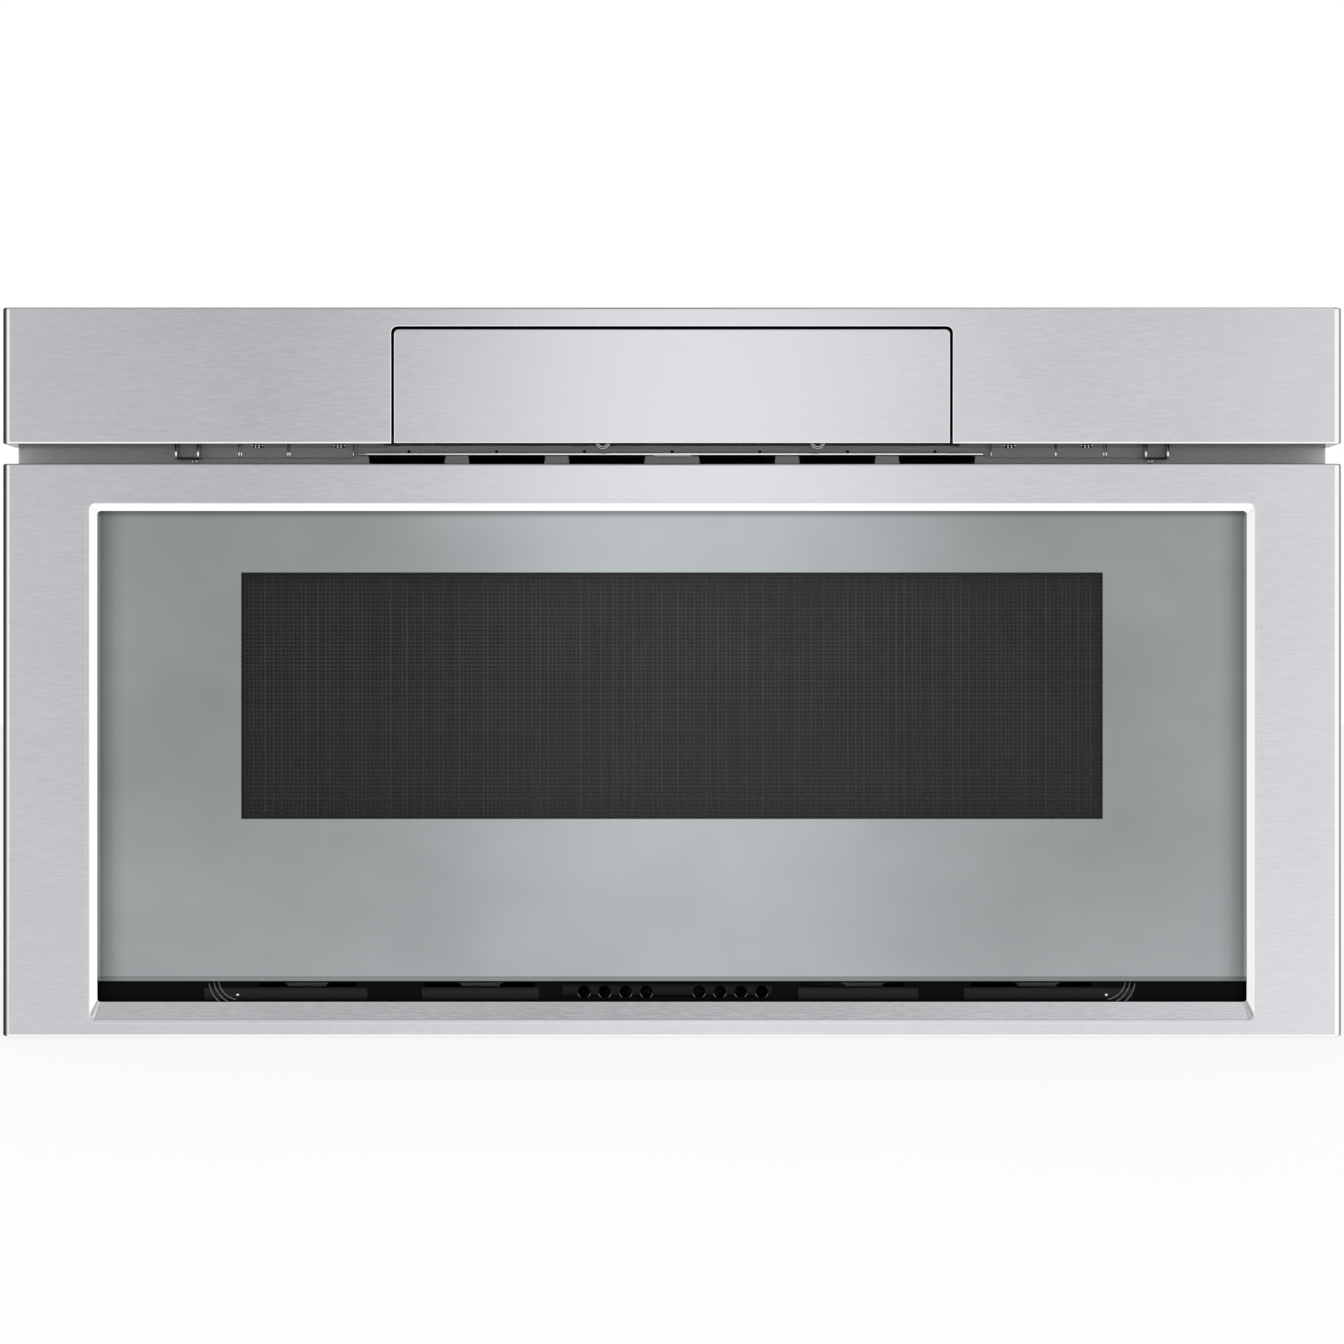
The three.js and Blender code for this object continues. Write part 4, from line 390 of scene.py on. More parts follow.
def weigh_front_edges(shape, node):
    """Marks the edges of a front that are rounded: its outer rim by a share of 1, the flap's seam by less.
    The drawer's opening has its own trim."""
    low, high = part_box(node)
    weights = shape.edges.layers.float.new("bevel_weight_edge")
    for edge in shape.edges:
        ends = [corner.co for corner in edge.verts]
        if edge.calc_face_angle(0.0) < SHARP_EDGE:
            continue
        level = any(all(abs(end.z - height) < LEVEL_MM * MM for end in ends) for height in (low[2], high[2]))
        in_face = all(end.y < low[1] + TOUCH_MM * MM for end in ends)
        if node != "flap_panel" and level and all(on_outside(end, low) for end in ends):
            edge[weights] = 1.0
        elif in_face and node != "drawer_frame":
            edge[weights] = CUT_EDGE_MM / FOLD_EDGE_MM


def softened(node, radius_mm):
    """A welded copy of a node, without its stored normals, whose sharp edges are rounded to the radius. On
    the stainless fronts only the weighted edges are rounded, and more widely."""
    mesh = frame["nodes"][node].data.copy()
    if "custom_normal" in mesh.attributes:
        mesh.attributes.remove(mesh.attributes["custom_normal"])
    shape = bmesh.new()
    shape.from_mesh(mesh)
    bmesh.ops.remove_doubles(shape, verts=shape.verts, dist=WELD_MM * MM)
    for edge in shape.edges:
        edge.smooth = True
    bmesh.ops.dissolve_limit(shape, angle_limit=COPLANAR, verts=shape.verts, edges=shape.edges)
    front = slot_of[node] == "stainless_front"
    if front:
        weigh_front_edges(shape, node)
    shape.to_mesh(mesh)
    shape.free()
    piece = settle(node + ".dressed", mesh, body_of[node], slot_of[node], own_finish.get(node))
    round_edges(piece, FOLD_EDGE_MM if front else radius_mm)
    if front:
        bend = piece.modifiers["rounded edges"]
        bend.limit_method = "WEIGHT"
        bend.use_clamp_overlap = False
        bend.segments = 3
    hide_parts(node)


def grid_quads(rows, columns, closed_rows=False, closed_columns=False):
    """Quads between neighbours on a grid of points; a closed direction joins its last line to its first."""
    row, column = np.meshgrid(np.arange(rows - (not closed_rows)), np.arange(columns - (not closed_columns)),
                              indexing="ij")
    next_row, next_column = (row + 1) % rows, (column + 1) % columns
    return np.stack([row * columns + column, row * columns + next_column,
                     next_row * columns + next_column, next_row * columns + column], -1).reshape(-1, 4)


def repeated(points, faces, places):
    """The same small shape at many places, as one list of points and one of faces."""
    count = len(points)
    many = (points[None] + places[:, None]).reshape(-1, 3)
    return many, (faces[None] + (np.arange(len(places)) * count)[:, None, None]).reshape(-1, faces.shape[1])


SAME_POINT = 1e-7                 # metres


def shell(name, points_mm, faces):
    """A mesh from points in millimetres, its doubles merged and its faces turned outwards."""
    mesh = bpy.data.meshes.new(name)
    mesh.from_pydata((np.asarray(points_mm) * MM).tolist(), [], np.asarray(faces).tolist())
    shape = bmesh.new()
    shape.from_mesh(mesh)
    bmesh.ops.remove_doubles(shape, verts=shape.verts, dist=SAME_POINT)
    bmesh.ops.recalc_face_normals(shape, faces=shape.faces)
    shape.to_mesh(mesh)
    shape.free()
    return mesh


AXES = {"x": (1, 2, 0), "y": (0, 2, 1), "z": (0, 1, 2)}


def turned(name, body, slot, axis, profile_mm, places_mm, steps=12, material=None):
    """A piece made of heads of revolution: at each place the profile's (radius r, height h) goes round the
    axis as the points (r cos a, r sin a, h), with the angle a in equal steps."""
    radius, height = np.array(profile_mm, float).T
    turn = np.linspace(0, 2 * np.pi, steps, endpoint=False)
    first = np.outer(radius, np.cos(turn))
    second = np.outer(radius, np.sin(turn))
    along = np.repeat(height[:, None], steps, 1)
    points = np.zeros((len(radius) * steps, 3))
    for index, part in zip(AXES[axis], (first, second, along)):
        points[:, index] = part.ravel()
    quads = grid_quads(len(radius), steps, closed_columns=True)
    mesh = shell(name, *repeated(points, quads, np.array(places_mm, float)))
    return settle(name, mesh, body, slot, material)


BLOCK_FACES = np.array([(0, 1, 3, 2), (4, 6, 7, 5), (0, 4, 5, 1), (2, 3, 7, 6), (0, 2, 6, 4), (1, 5, 7, 3)])


def ribs(name, body, slot, boxes_mm, material=None):
    """A piece made of straight ribs, each between two opposite corners: low + (high - low) x bits, with the
    three bits of the corner's number for X, Y and Z."""
    boxes = np.array(boxes_mm, float)
    bits = np.array([[(n >> 2) & 1, (n >> 1) & 1, n & 1] for n in range(8)])
    low, high = boxes[:, None, :3], boxes[:, None, 3:]
    points = (low + (high - low) * bits[None]).reshape(-1, 3)
    faces = (BLOCK_FACES[None] + (np.arange(len(boxes)) * 8)[:, None, None]).reshape(-1, 4)
    return settle(name, shell(name, points, faces), body, slot, material)


CAP_LEAN = np.radians((0.0, 30.0, 60.0))      # steps of the quarter round that closes a bar's end


def bar(path_mm, radius_mm, steps=8):
    """Points and faces of a round bar along a path in an upright plane facing front. At each point a circle
    stands square to the path: point + radius x (cos a x sideways + sin a x plane's normal). Quarter rounds
    close both ends."""
    path = np.array(path_mm, float)
    normal = np.array((0.0, 1.0, 0.0))
    ahead = np.gradient(path, axis=0)
    ahead /= np.linalg.norm(ahead, axis=1, keepdims=True)
    reach = radius_mm * np.cos(CAP_LEAN)[:, None]
    thin = radius_mm * np.sin(CAP_LEAN)
    radius = np.concatenate([thin, np.full(len(path), float(radius_mm)), thin[::-1]])
    path = np.concatenate([path[0] - ahead[0] * reach, path, path[-1] + ahead[-1] * reach[::-1]])
    caps = len(CAP_LEAN)
    ahead = np.concatenate([np.repeat(ahead[:1], caps, 0), ahead, np.repeat(ahead[-1:], caps, 0)])
    sideways = np.cross(ahead, normal)
    turn = np.linspace(0, 2 * np.pi, steps, endpoint=False)[:, None]
    circle = np.cos(turn) * sideways[:, None] + np.sin(turn) * normal
    points = path[:, None] + radius[:, None, None] * circle
    return points.reshape(-1, 3), grid_quads(len(path), steps, closed_columns=True)


def joined(shapes):
    """Several (points, faces) shapes as one."""
    starts = np.cumsum([0] + [len(points) for points, _ in shapes])
    faces = [faces + start for start, (_, faces) in zip(starts, shapes)]
    return np.concatenate([points for points, _ in shapes]), np.concatenate(faces)


def bars(name, body, slot, runs, material=None):
    """A piece made of round bars, each given as its path and radius."""
    return settle(name, shell(name, *joined([bar(*run) for run in runs])), body, slot, material)


def rounded_outline(half, low, high, radius, steps=6):
    """X and Z round a rectangle with rounded corners: centre + radius x (cos a, sin a) over each quarter."""
    turn = np.linspace(0, np.pi / 2, steps + 1)
    corners = [(half, high, 0), (-half, high, 1), (-half, low, 2), (half, low, 3)]
    rounds = [(x - np.sign(x) * radius + radius * np.cos(turn + k * np.pi / 2),
               z + (radius if k > 1 else -radius) + radius * np.sin(turn + k * np.pi / 2))
              for x, z, k in corners]
    return np.concatenate([np.array(corner).T for corner in rounds])


def lofted(name, rows):
    """A closed ring through rounded rectangles: row (half width, low, high, corner radius, y) by row, last to
    first again."""
    outlines = np.array([rounded_outline(*row[:4]) for row in rows])
    depth = np.array([row[4] for row in rows])[:, None, None]
    points = np.concatenate([outlines[..., :1], depth + 0 * outlines[..., :1], outlines[..., 1:]], -1)
    return shell(name, points.reshape(-1, 3),
                 grid_quads(len(rows), outlines.shape[1], closed_rows=True, closed_columns=True))


EDGE_MM = {                       # radius on each kind of piece, by its material slot
    "stainless_front": 0.3, "stainless_sheet": 0.3, "galvanised_sheet": 0.3, "zinc_steel": 0.25,
    "cavity_enamel": 0.3, "tinted_glass": 0.5, "clear_glass": 0.4, "screen_steel": 0.15,
    "ceramic_glass": 1.0, "touch_glass": 0.4, "black_plastic": 0.4, "grey_plastic": 0.4, "acetal": 0.15,
    "mica_sheet": 0.1, "dark_steel": 0.5, "wound_copper": 0.8, "circuit_board": 0.2,
}
for node, slot in slot_of.items():
    softened(node, EDGE_MM[slot])


# ------------------------ frame's opening

OPENING_MM = (330.1, 11.1, 303.8, 4.0, -297.0)      # half width, low, high, corner radius and y at the face
SLOPE_MM = (-4.2, 10.2, -4.2, -2.0, 4.0)            # what the chamfer adds to these at its inner end
# Each row of the trim: share of the slope, how much wider than the opening, and how far behind its y, in mm.
TRIM_ROWS = [
    # The flange on the face, from its hidden outer rim to the opening's edge.
    (0, 2.0, 0.2), (0, 1.98, -0.015), (0, 1.9, -0.015), (0, 0.5, -0.015), (0, 0.4, -0.015), (0, 0.15, 0.02),
    # The chamfer, a little in front of the sheet.
    (0.04, -0.08, -0.08), (0.07, -0.08, -0.08), (0.11, -0.08, -0.08), (0.9, -0.08, -0.08),
    (0.96, -0.08, -0.08), (1, -0.04, -0.04),
    # Back under the sheet.
    (1, 0.3, 0.2), (0.6, 1.2, 0.6), (0, 1.6, 0.7),
]
SILL_SLANT = 0.3                  # faces whose normal rises more than this belong to the tall sill

# The sill faces the ceiling: the same brushed sheet, a little duller.
sill_finish = finished("brushed_sill", ("#d6d7da", "#dfe0e3", "#e8e9ec"), BRUSH_MM, (0.14, 0.2), 0.0012,
                       blotch_share=0.25, sockets=FRONT_METAL)


def opening_trim():
    """The chamfer with rounded corners round the glass. Each row is opening + share x slope, made wider on
    all four sides and set back."""
    wider = np.array([1.0, -1.0, 1.0, 1.0, 0.0])
    backward = np.array([0.0, 0.0, 0.0, 0.0, 1.0])
    rows = [np.array(OPENING_MM) + share * np.array(SLOPE_MM) + width * wider + depth * backward
            for share, width, depth in TRIM_ROWS]
    trim = settle("opening_trim", lofted("opening_trim", rows), "drawer", "stainless_front")
    upward = np.zeros(len(trim.data.polygons) * 3)
    trim.data.polygons.foreach_get("normal", upward)
    trim.data.materials.append(sill_finish)
    trim.data.polygons.foreach_set("material_index", (upward[2::3] > SILL_SLANT).astype(int))


opening_trim()


# ------------------------ window screen

WIRE_PITCH_MM = 2.3               # coarser than the real perforation, so that it shows
WIRE_WIDTH_MM = 1.0
# The wires stop short of the top and the left, so the bare dark screen there stands in for the recess's
# shadow: a painted shadow.
WIRES_FROM_TOP_MM = 2.0           # the screen's recess keeps its top row and left column dark
WIRES_FROM_LEFT_MM = 1.6
WIRES_BEYOND_MM = 4.0             # how far they run past the window's other two edges
WIRES_BACK_MM = -286.85           # just inside the screen's front
UPRIGHT_DEPTH_MM = 0.26
LEVEL_DEPTH_MM = 0.18
UNBROKEN_MM = 1e6                 # grain as long as this keeps one tone along a wire


def wire_finish(name, cell_mm):
    """Dark coated steel wires, each a little lighter or darker than its neighbour."""
    return finished(name, ("#44463f", "#6a6c67", "#92948f"), cell_mm, (0.5, 0.6), 0.0,
                    blotch_share=0.15, sockets={"Metallic": 0.0})


def wires():
    """Two sets of thin ribs in front of the dark screen: upright ones, and level ones just behind them."""
    left, right = WIRES_FROM_LEFT_MM - WINDOW_HALF_MM, WINDOW_HALF_MM + WIRES_BEYOND_MM
    low, high = WINDOW_Z_MM[0] - WIRES_BEYOND_MM, WINDOW_Z_MM[1] - WIRES_FROM_TOP_MM
    back, half = WIRES_BACK_MM, WIRE_WIDTH_MM / 2
    upright = [(x - half, back - UPRIGHT_DEPTH_MM, low, x + half, back, high)
               for x in np.arange(left, right, WIRE_PITCH_MM)]
    level = [(left, back - LEVEL_DEPTH_MM, z - half, right, back, z + half)
             for z in np.arange(high, low, -WIRE_PITCH_MM)]
    ribs("screen_wires_upright", "drawer", "screen_steel", upright,
         wire_finish("upright_wires", (WIRE_PITCH_MM, UNBROKEN_MM, UNBROKEN_MM)))
    ribs("screen_wires_level", "drawer", "screen_steel", level,
         wire_finish("level_wires", (UNBROKEN_MM, UNBROKEN_MM, WIRE_PITCH_MM)))


wires()


# ------------------------ fixings in the vent gap

GAP_PLATE_MM = -251.5             # front of the front plate
BRACKET_MM = -253.0               # front of the strip's brackets and of the deflector's upright plate
WING_MM = -262.0                  # front edges of the brackets' wings
WING_Z_MM = (331.7, 337.4)
SEAM_Z_MM = (332.4, 337.2)
HOOK_Z_MM = (329.1, 330.9)
SHADOW_STRIP_Z_MM = (330.8, 331.6)
DEFLECTOR_MM = -259.0
BUMPER_MM = -283.6
STRIP_FOOT_MM = 337.6             # underside of the strip
STRIP_MM = -287.0                 # how far forward its screws hang
STRIP_SCREWS_X = (-235.3, -188.7, 192.0, 235.7)
WINGS_X = (-284.9, -272.3, 272.3, 284.9)
SHADOW_STRIP_X = 278.5                    # middle of the dark strip between two wings, a painted shadow, and its half width
SHADOW_STRIP_HALF_MM = 6.3
FILLET_EDGE_MM = 0.15
PROUD_MM = 0.1                    # how far the dark strips and the seams stand in front of what carries them
# Bright seams of the brackets, as X and radius.
SEAMS = ((-249.7, 0.55), (-248.2, 0.42), (-221.5, 0.45), (-220.3, 0.45), (-183.7, 0.38), (184.0, 0.38),
         (221.3, 0.65), (248.9, 0.45), (250.4, 0.5))
HOOKS_X = (-276.5, -274.2, 274.9, 276.9)
HOOKS_PROUD_MM = 0.4
WING_RADIUS_MM = 0.8
WIRE_RADIUS_MM = 0.45             # hooks and clips
GLINT_RADIUS_MM = 0.48
GLINTS_PROUD_MM = 3.2             # in front of a strip screw's axis
GLINT_RISE_MM = 0.2
# Glints on the front of a strip screw, as X from the screw and Z.
GLINTS = ((-3.1, 337.0), (-1.2, 337.0), (0.8, 337.0), (2.7, 337.0), (-1.2, 335.9), (0.8, 335.9))
# The deflector's bright lip, its end and the tab under its middle: X, depth in front of and behind it, Z.
LIPS = ((-180.6, -176.0, 0.3, 0.3, 333.35, 333.95), (-176.0, 179.0, 0.4, 0.3, 333.1, 334.3),
        (-10.4, 11.0, 0.5, 0.2, 332.4, 333.0))
CLIPS_X = (-39.4, 83.0)           # each a double arch round a bumper's pin
CLIP_Z = 339.4
CLIP_RADII = (3.8, 2.7)
# Radius and height of a screw head that hangs under the strip: washer, neck and rounded head.
HANGING_HEAD = [(0, 0.3), (3.5, 0.3), (3.5, -0.35), (2.6, -0.5), (2.5, -0.8), (3.2, -0.95), (3.2, -1.5),
                (2.2, -2.0), (0, -2.1)]
# Black discs in the deflector's vent holes: painted shade for their dark insides.
VENT_HOLE_SHADE = [(0, -0.1), (0.8, -0.1), (1.0, 0.05), (1.0, 0.3), (0, 0.3)]
VENT_X = (-151.7, -101.1, -50.5, 0.0, 50.7, 101.3, 151.7)
VENT_Z = 335.3


def arch(x, y, z, radius, degrees, points=13):
    """Points (x + radius x cos a, z + radius x sin a) in an upright plane, with a between two angles."""
    turn = np.radians(np.linspace(*degrees, points))
    return np.stack([x + radius * np.cos(turn), np.full(points, y), z + radius * np.sin(turn)], 1)


def upright_line(x, y, low, high):
    """Two points of an upright line."""
    return [(x, y, low), (x, y, high)]


def gap_fixings():
    """What shows between the strip and the drawer: bright wing edges, screws with glints, seams and hooks,
    dark strips under the wings as painted shadow, and black dots as the painted shade of the vent holes.
    """
    wings = [(upright_line(x, WING_MM, *WING_Z_MM), WING_RADIUS_MM) for x in WINGS_X]
    seams = [(upright_line(x, BRACKET_MM - PROUD_MM, *SEAM_Z_MM), radius) for x, radius in SEAMS]
    hooks = [(upright_line(x, GAP_PLATE_MM - HOOKS_PROUD_MM, *HOOK_Z_MM), WIRE_RADIUS_MM) for x in HOOKS_X]
    glints = [(upright_line(x + beside, STRIP_MM - GLINTS_PROUD_MM, z, z + GLINT_RISE_MM), GLINT_RADIUS_MM)
              for x in STRIP_SCREWS_X for beside, z in GLINTS]
    bars("gap_upright_edges", "chassis", "zinc_steel", wings + seams + hooks + glints, polished_steel)
    lips = [(left, DEFLECTOR_MM - front, low, right, DEFLECTOR_MM + behind, high)
            for left, right, front, behind, low, high in LIPS]
    round_edges(ribs("gap_level_edges", "chassis", "zinc_steel", lips, polished_steel), FILLET_EDGE_MM)
    # Dark strips under the wings: a painted shadow.
    shadow_strips = [(side * SHADOW_STRIP_X - SHADOW_STRIP_HALF_MM, WING_MM - PROUD_MM, SHADOW_STRIP_Z_MM[0],
             side * SHADOW_STRIP_X + SHADOW_STRIP_HALF_MM, BRACKET_MM, SHADOW_STRIP_Z_MM[1]) for side in (-1, 1)]
    round_edges(ribs("gap_shadow_strips", "chassis", "dark_steel", shadow_strips), FILLET_EDGE_MM)
    clips = [(arch(x, BUMPER_MM, CLIP_Z, radius, (180, 360)), WIRE_RADIUS_MM)
             for x in CLIPS_X for radius in CLIP_RADII]
    bars("gap_bumper_clips", "chassis", "zinc_steel", clips, polished_steel)
    heads = [(x, STRIP_MM, STRIP_FOOT_MM) for x in STRIP_SCREWS_X]
    turned("strip_screws", "chassis", "dark_steel", "z", HANGING_HEAD, heads, steps=24)
    # Painted shade of the vent holes.
    hole_shades = [(x, BRACKET_MM, VENT_Z) for x in VENT_X]
    turned("vent_hole_shades", "chassis", "black_plastic", "y", VENT_HOLE_SHADE, hole_shades, material=grille_moulding)


gap_fixings()


# ------------------------ air grille at the foot of the glass

GRILLE_MM = -286.6
BOSS_MM = (245.7, 34.1)           # half spacing and height of the screw bosses
# Ridges round a boss: radius, and the degrees from straight up, outwards, where they start and end.
RIDGES = ((17.8, 100, 142), (14.9, 100, 152), (12.3, 100, 168))
RIDGE_RADIUS_MM = 0.35            # of the ridge's own round section
HOLES_X = (-50, -38.2, -26.3, -14.5, 15.4, 27.2, 39.1, 51)
HOLE_Z = 26.5
LIP_REACH_MM = 3.75               # from a hole's middle to its lips
LIP_RADIUS_MM = 0.22
LIP_DEGREES = ((198, 232), (308, 342))
GRILLE_SCREW = (247.0, 24.6)      # half spacing and height
GRILLE_SCREW_SUNK_MM = 0.5
SCREW_HEAD = [(0, -0.9), (0.7, -0.85), (1.1, -0.4), (1.1, 0.6), (0, 0.6)]
# A black sheet behind the air holes: painted shade for the depth of the air path.
HOLE_SHADE_MM = (-58.0, -283.1, 20.5, 59.0, -282.7, 32.0)      # low and high corner, behind the air holes


def grille_details():
    """Ridges curving round the grille's two screw bosses and lips beside its air holes, in grey as painted
    highlights on the black moulding, a bright screw by each boss, and a black sheet behind the holes as their
    painted shade."""
    ridges = []
    for side in (-1, 1):
        for radius, start, end in RIDGES:
            degrees = (90 - side * start, 90 - side * end)
            path = arch(side * BOSS_MM[0], GRILLE_MM, BOSS_MM[1], radius, degrees)
            ridges.append((path, RIDGE_RADIUS_MM))
    lips = [(arch(x, GRILLE_MM, HOLE_Z, LIP_REACH_MM, degrees, 5), LIP_RADIUS_MM)
            for x in HOLES_X for degrees in LIP_DEGREES]
    # The ridges and lips belong to the black grille; they are drawn in grey moulding as a painted highlight.
    bars("grille_ridges", "drawer", "grey_plastic", ridges + lips)
    # Painted shade behind the air holes.
    ribs("grille_hole_shade", "drawer", "black_plastic", [HOLE_SHADE_MM], grille_moulding)
    screws = [(side * GRILLE_SCREW[0], GRILLE_MM + GRILLE_SCREW_SUNK_MM, GRILLE_SCREW[1]) for side in (-1, 1)]
    turned("grille_screws", "drawer", "zinc_steel", "y", SCREW_HEAD, screws, material=polished_steel)


grille_details()


# ------------------------ back, sides and top of the cabinet

BACK_MM = 289.5                   # rear face of the back panel
SIDE_MM = 355.0
TOP_MM = 372.0
LOUVRE_PITCH_MM = 14.0
# Banks of slots: the X of their middles, the Z of the lowest slot, and how many slots there are.
LOUVRE_BANKS = ((150, 208.0, 5), (240, 208.0, 5), (-60, 40.0, 3), (30, 40.0, 3), (120, 40.0, 3))
HOOD_HALF_MM = 35.5
HOOD_RISE_MM = 5.2
HOOD_DROP_MM = 6.0
HOOD_ROOT_Z = 4.2                 # above the slot's middle
HOOD_SAG_MM = 1.2                 # how much lower its ends lie
HOOD_SHEET_MM = 0.5
ROOT_MM = 0.2                     # how deep the hoods' roots sit in the panel
# Radius and height of a screw head with its washer.
WASHER_HEAD = [(0, 3.0), (2.6, 3.0), (3.0, 2.7), (3.0, 0.9), (5.0, 0.8), (5.2, 0.4), (5.2, -0.3), (0, -0.3)]
BACK_SCREWS_X = (-342.0, -171.0, 0.0, 171.0, 342.0)
BACK_SCREWS_Z = (22.0, 126.0, 244.0, 362.0)
SIDE_SCREWS_Y = (-225.0, -75.0, 75.0, 225.0)
SIDE_SCREWS_Z = (14.0, 352.0)
BEAD_RISE_MM = 2.6
BEAD_BURIED_MM = (0.02, 0.5)      # how far its rim and its underside lie below the sheet's face
# Start, end, place across and half width of each bead, in the sheet's own two axes.
SIDE_BEADS = [(-200, 240, z, 9) for z in (90, 180, 270)]
TOP_BEADS = [(-270, 270, y, 10) for y in (-150, -50, 50, 150, 245)]


def louvre_hoods():
    """Pressed hoods over the slots. Along u from end to end and v from root to lip, the hood stands
    rise x sin(90 v) x (1 - u^6) off the panel while it comes down drop x (1 - cos(90 v)) + sag x u^6."""
    along = np.linspace(-1, 1, 21)[None, :]
    down = np.linspace(0, np.pi / 2, 6)[:, None]
    x = HOOD_HALF_MM * along + 0 * down
    y = BACK_MM - ROOT_MM + HOOD_RISE_MM * np.sin(down) * (1 - along ** 6)
    z = HOOD_ROOT_Z - HOOD_DROP_MM * (1 - np.cos(down)) - HOOD_SAG_MM * along ** 6
    hood = np.stack([x, y, z], -1).reshape(-1, 3)
    places = np.array([(x, 0.0, lowest + LOUVRE_PITCH_MM * row)
                       for x, lowest, count in LOUVRE_BANKS for row in range(count)])
    mesh = shell("louvre_hoods", *repeated(hood, grid_quads(6, 21)[:, ::-1], places))
    hoods = settle("louvre_hoods", mesh, "chassis", "galvanised_sheet")
    wall = hoods.modifiers.new("sheet thickness", "SOLIDIFY")
    wall.thickness = HOOD_SHEET_MM * MM
    wall.offset = 0.0


def beads(name, runs_mm, flat, level_mm, outward):
    """Stiffening beads pressed into a flat sheet. Across a bead the height is rise x (1 - t^2)^2 for t from
    edge to edge, and its ends die out as (1 - s^8) for s from end to end. Flat names the sheet's two axes."""
    across, along = np.meshgrid(np.linspace(-1, 1, 13), np.linspace(-1, 1, 41), indexing="ij")
    rise = BEAD_RISE_MM * (1 - across ** 2) ** 2 * (1 - along ** 8)
    normal = 3 - flat[0] - flat[1]
    shapes = []
    for start, end, side, half_width in runs_mm:
        points = np.zeros((across.size, 3))
        points[:, flat[0]] = ((start + end) / 2 + along * (end - start) / 2).ravel()
        points[:, flat[1]] = (side + across * half_width).ravel()
        points[:, normal] = level_mm + outward * (rise - BEAD_BURIED_MM[0]).ravel()
        under = points.copy()
        under[:, normal] = level_mm - outward * BEAD_BURIED_MM[1]
        shapes.append(closed_pad(points, under, across.shape))
    settle(name, shell(name, *joined(shapes)), "chassis", "galvanised_sheet")


def closed_pad(above, below, size):
    """A grid surface and the grid under it, joined round their border into one closed shape."""
    rows, columns = size
    faces = grid_quads(rows, columns)
    number = np.arange(rows * columns).reshape(rows, columns)
    rim = np.concatenate([number[0, :-1], number[:-1, -1], number[-1, :0:-1], number[:0:-1, 0]])
    wall = np.stack([rim, np.roll(rim, -1), np.roll(rim, -1) + len(above), rim + len(above)], 1)
    return np.concatenate([above, below]), np.concatenate([faces, faces[:, ::-1] + len(above), wall])


def cabinet_fixings():
    """Washer-head screws round the back panel and along the cover's sides, and beads that stiffen it."""
    ends_x, ends_z = BACK_SCREWS_X[::4], BACK_SCREWS_Z[::3]
    heads = [(x, BACK_MM, z) for x in BACK_SCREWS_X for z in ends_z]
    heads += [(x, BACK_MM, z) for x in ends_x for z in BACK_SCREWS_Z[1:-1]]
    turned("back_screws", "chassis", "zinc_steel", "y", WASHER_HEAD, heads)
    for side, name in ((-1, "left"), (1, "right")):
        places = [(side * SIDE_MM, y, z) for y in SIDE_SCREWS_Y for z in SIDE_SCREWS_Z]
        profile = [(radius, side * height) for radius, height in WASHER_HEAD]
        turned("side_screws_" + name, "chassis", "zinc_steel", "x", profile, places)
        beads("side_beads_" + name, SIDE_BEADS, (1, 2), side * SIDE_MM, side)
    beads("top_beads", TOP_BEADS, (0, 1), TOP_MM, 1)


louvre_hoods()
cabinet_fixings()


# ------------------------ camera, floor and light

IMAGE_WIDTH_MM = 761.07           # what the frame spans at the front plane
CAMERA_DISTANCE = 2.4             # in metres, from the front plane
SENSOR_MM = 36.0
FRONT_Y = -0.297
CAMERA_HEIGHT = 0.2083

camera_data = bpy.data.cameras.new("camera")
camera_data.sensor_width = SENSOR_MM
camera_data.lens = SENSOR_MM * CAMERA_DISTANCE / (IMAGE_WIDTH_MM * MM)
camera = bpy.data.objects.new("camera", camera_data)
camera.location = (0.0, FRONT_Y - CAMERA_DISTANCE, CAMERA_HEIGHT)
camera.rotation_euler = (np.pi / 2, 0.0, 0.0)
bpy.context.scene.collection.objects.link(camera)
bpy.context.scene.camera = camera
bpy.context.scene.view_settings.view_transform = "Standard"


# What gloss sees, by bearing from straight in front: a soft box behind the camera, dimmer beside it.
BEARINGS = [(-180, 0.92), (-104, 0.95), (-97, 1.04), (-80, 1.04), (-72, 0.92), (-40, 0.9), (-32, 1.0),
            (-15, 1.0), (-12, 0.82), (-9, 0.66), (-7.4, 0.58), (-5.2, 0.535), (-4.2, 0.55), (-3, 0.68),
            (-2.1, 0.92), (-1, 1.13), (1.2, 1.12), (2.4, 1.0), (3.4, 0.8), (4.6, 0.67), (5.4, 0.655),
            (6.6, 0.69), (8, 0.79), (9, 0.88), (12, 0.97), (15, 1.02), (32, 1.0), (40, 0.9), (80, 1.04),
            (97, 1.04), (104, 0.95), (180, 0.92)]
# In front and by height, as the sine of the elevation: pale ground, a dark band over the soft box, a ceiling.
FRONT_HEIGHTS = [(-1.0, 1.12), (-0.92, 1.1), (-0.8, 1.0), (0.0, 1.0), (0.1, 1.0), (0.17, 0.6), (0.35, 0.4),
                 (0.62, 0.45), (0.74, 0.485), (0.9, 0.6), (1.0, 0.8)]
# The same elsewhere, where there is no band.
HEIGHTS = [(-1.0, 1.1), (-0.8, 0.95), (0.0, 1.0), (0.5, 0.95), (1.0, 0.85)]
FRONT = [(-75, 0.0), (-50, 1.0), (50, 1.0), (75, 0.0)]
# Over the soft box the band is lighter to the right.
OVERHEAD = [(-40, 1.25), (-12, 1.72), (-6, 1.25), (0, 1.0), (6, 1.62), (12, 2.7), (40, 1.35)]
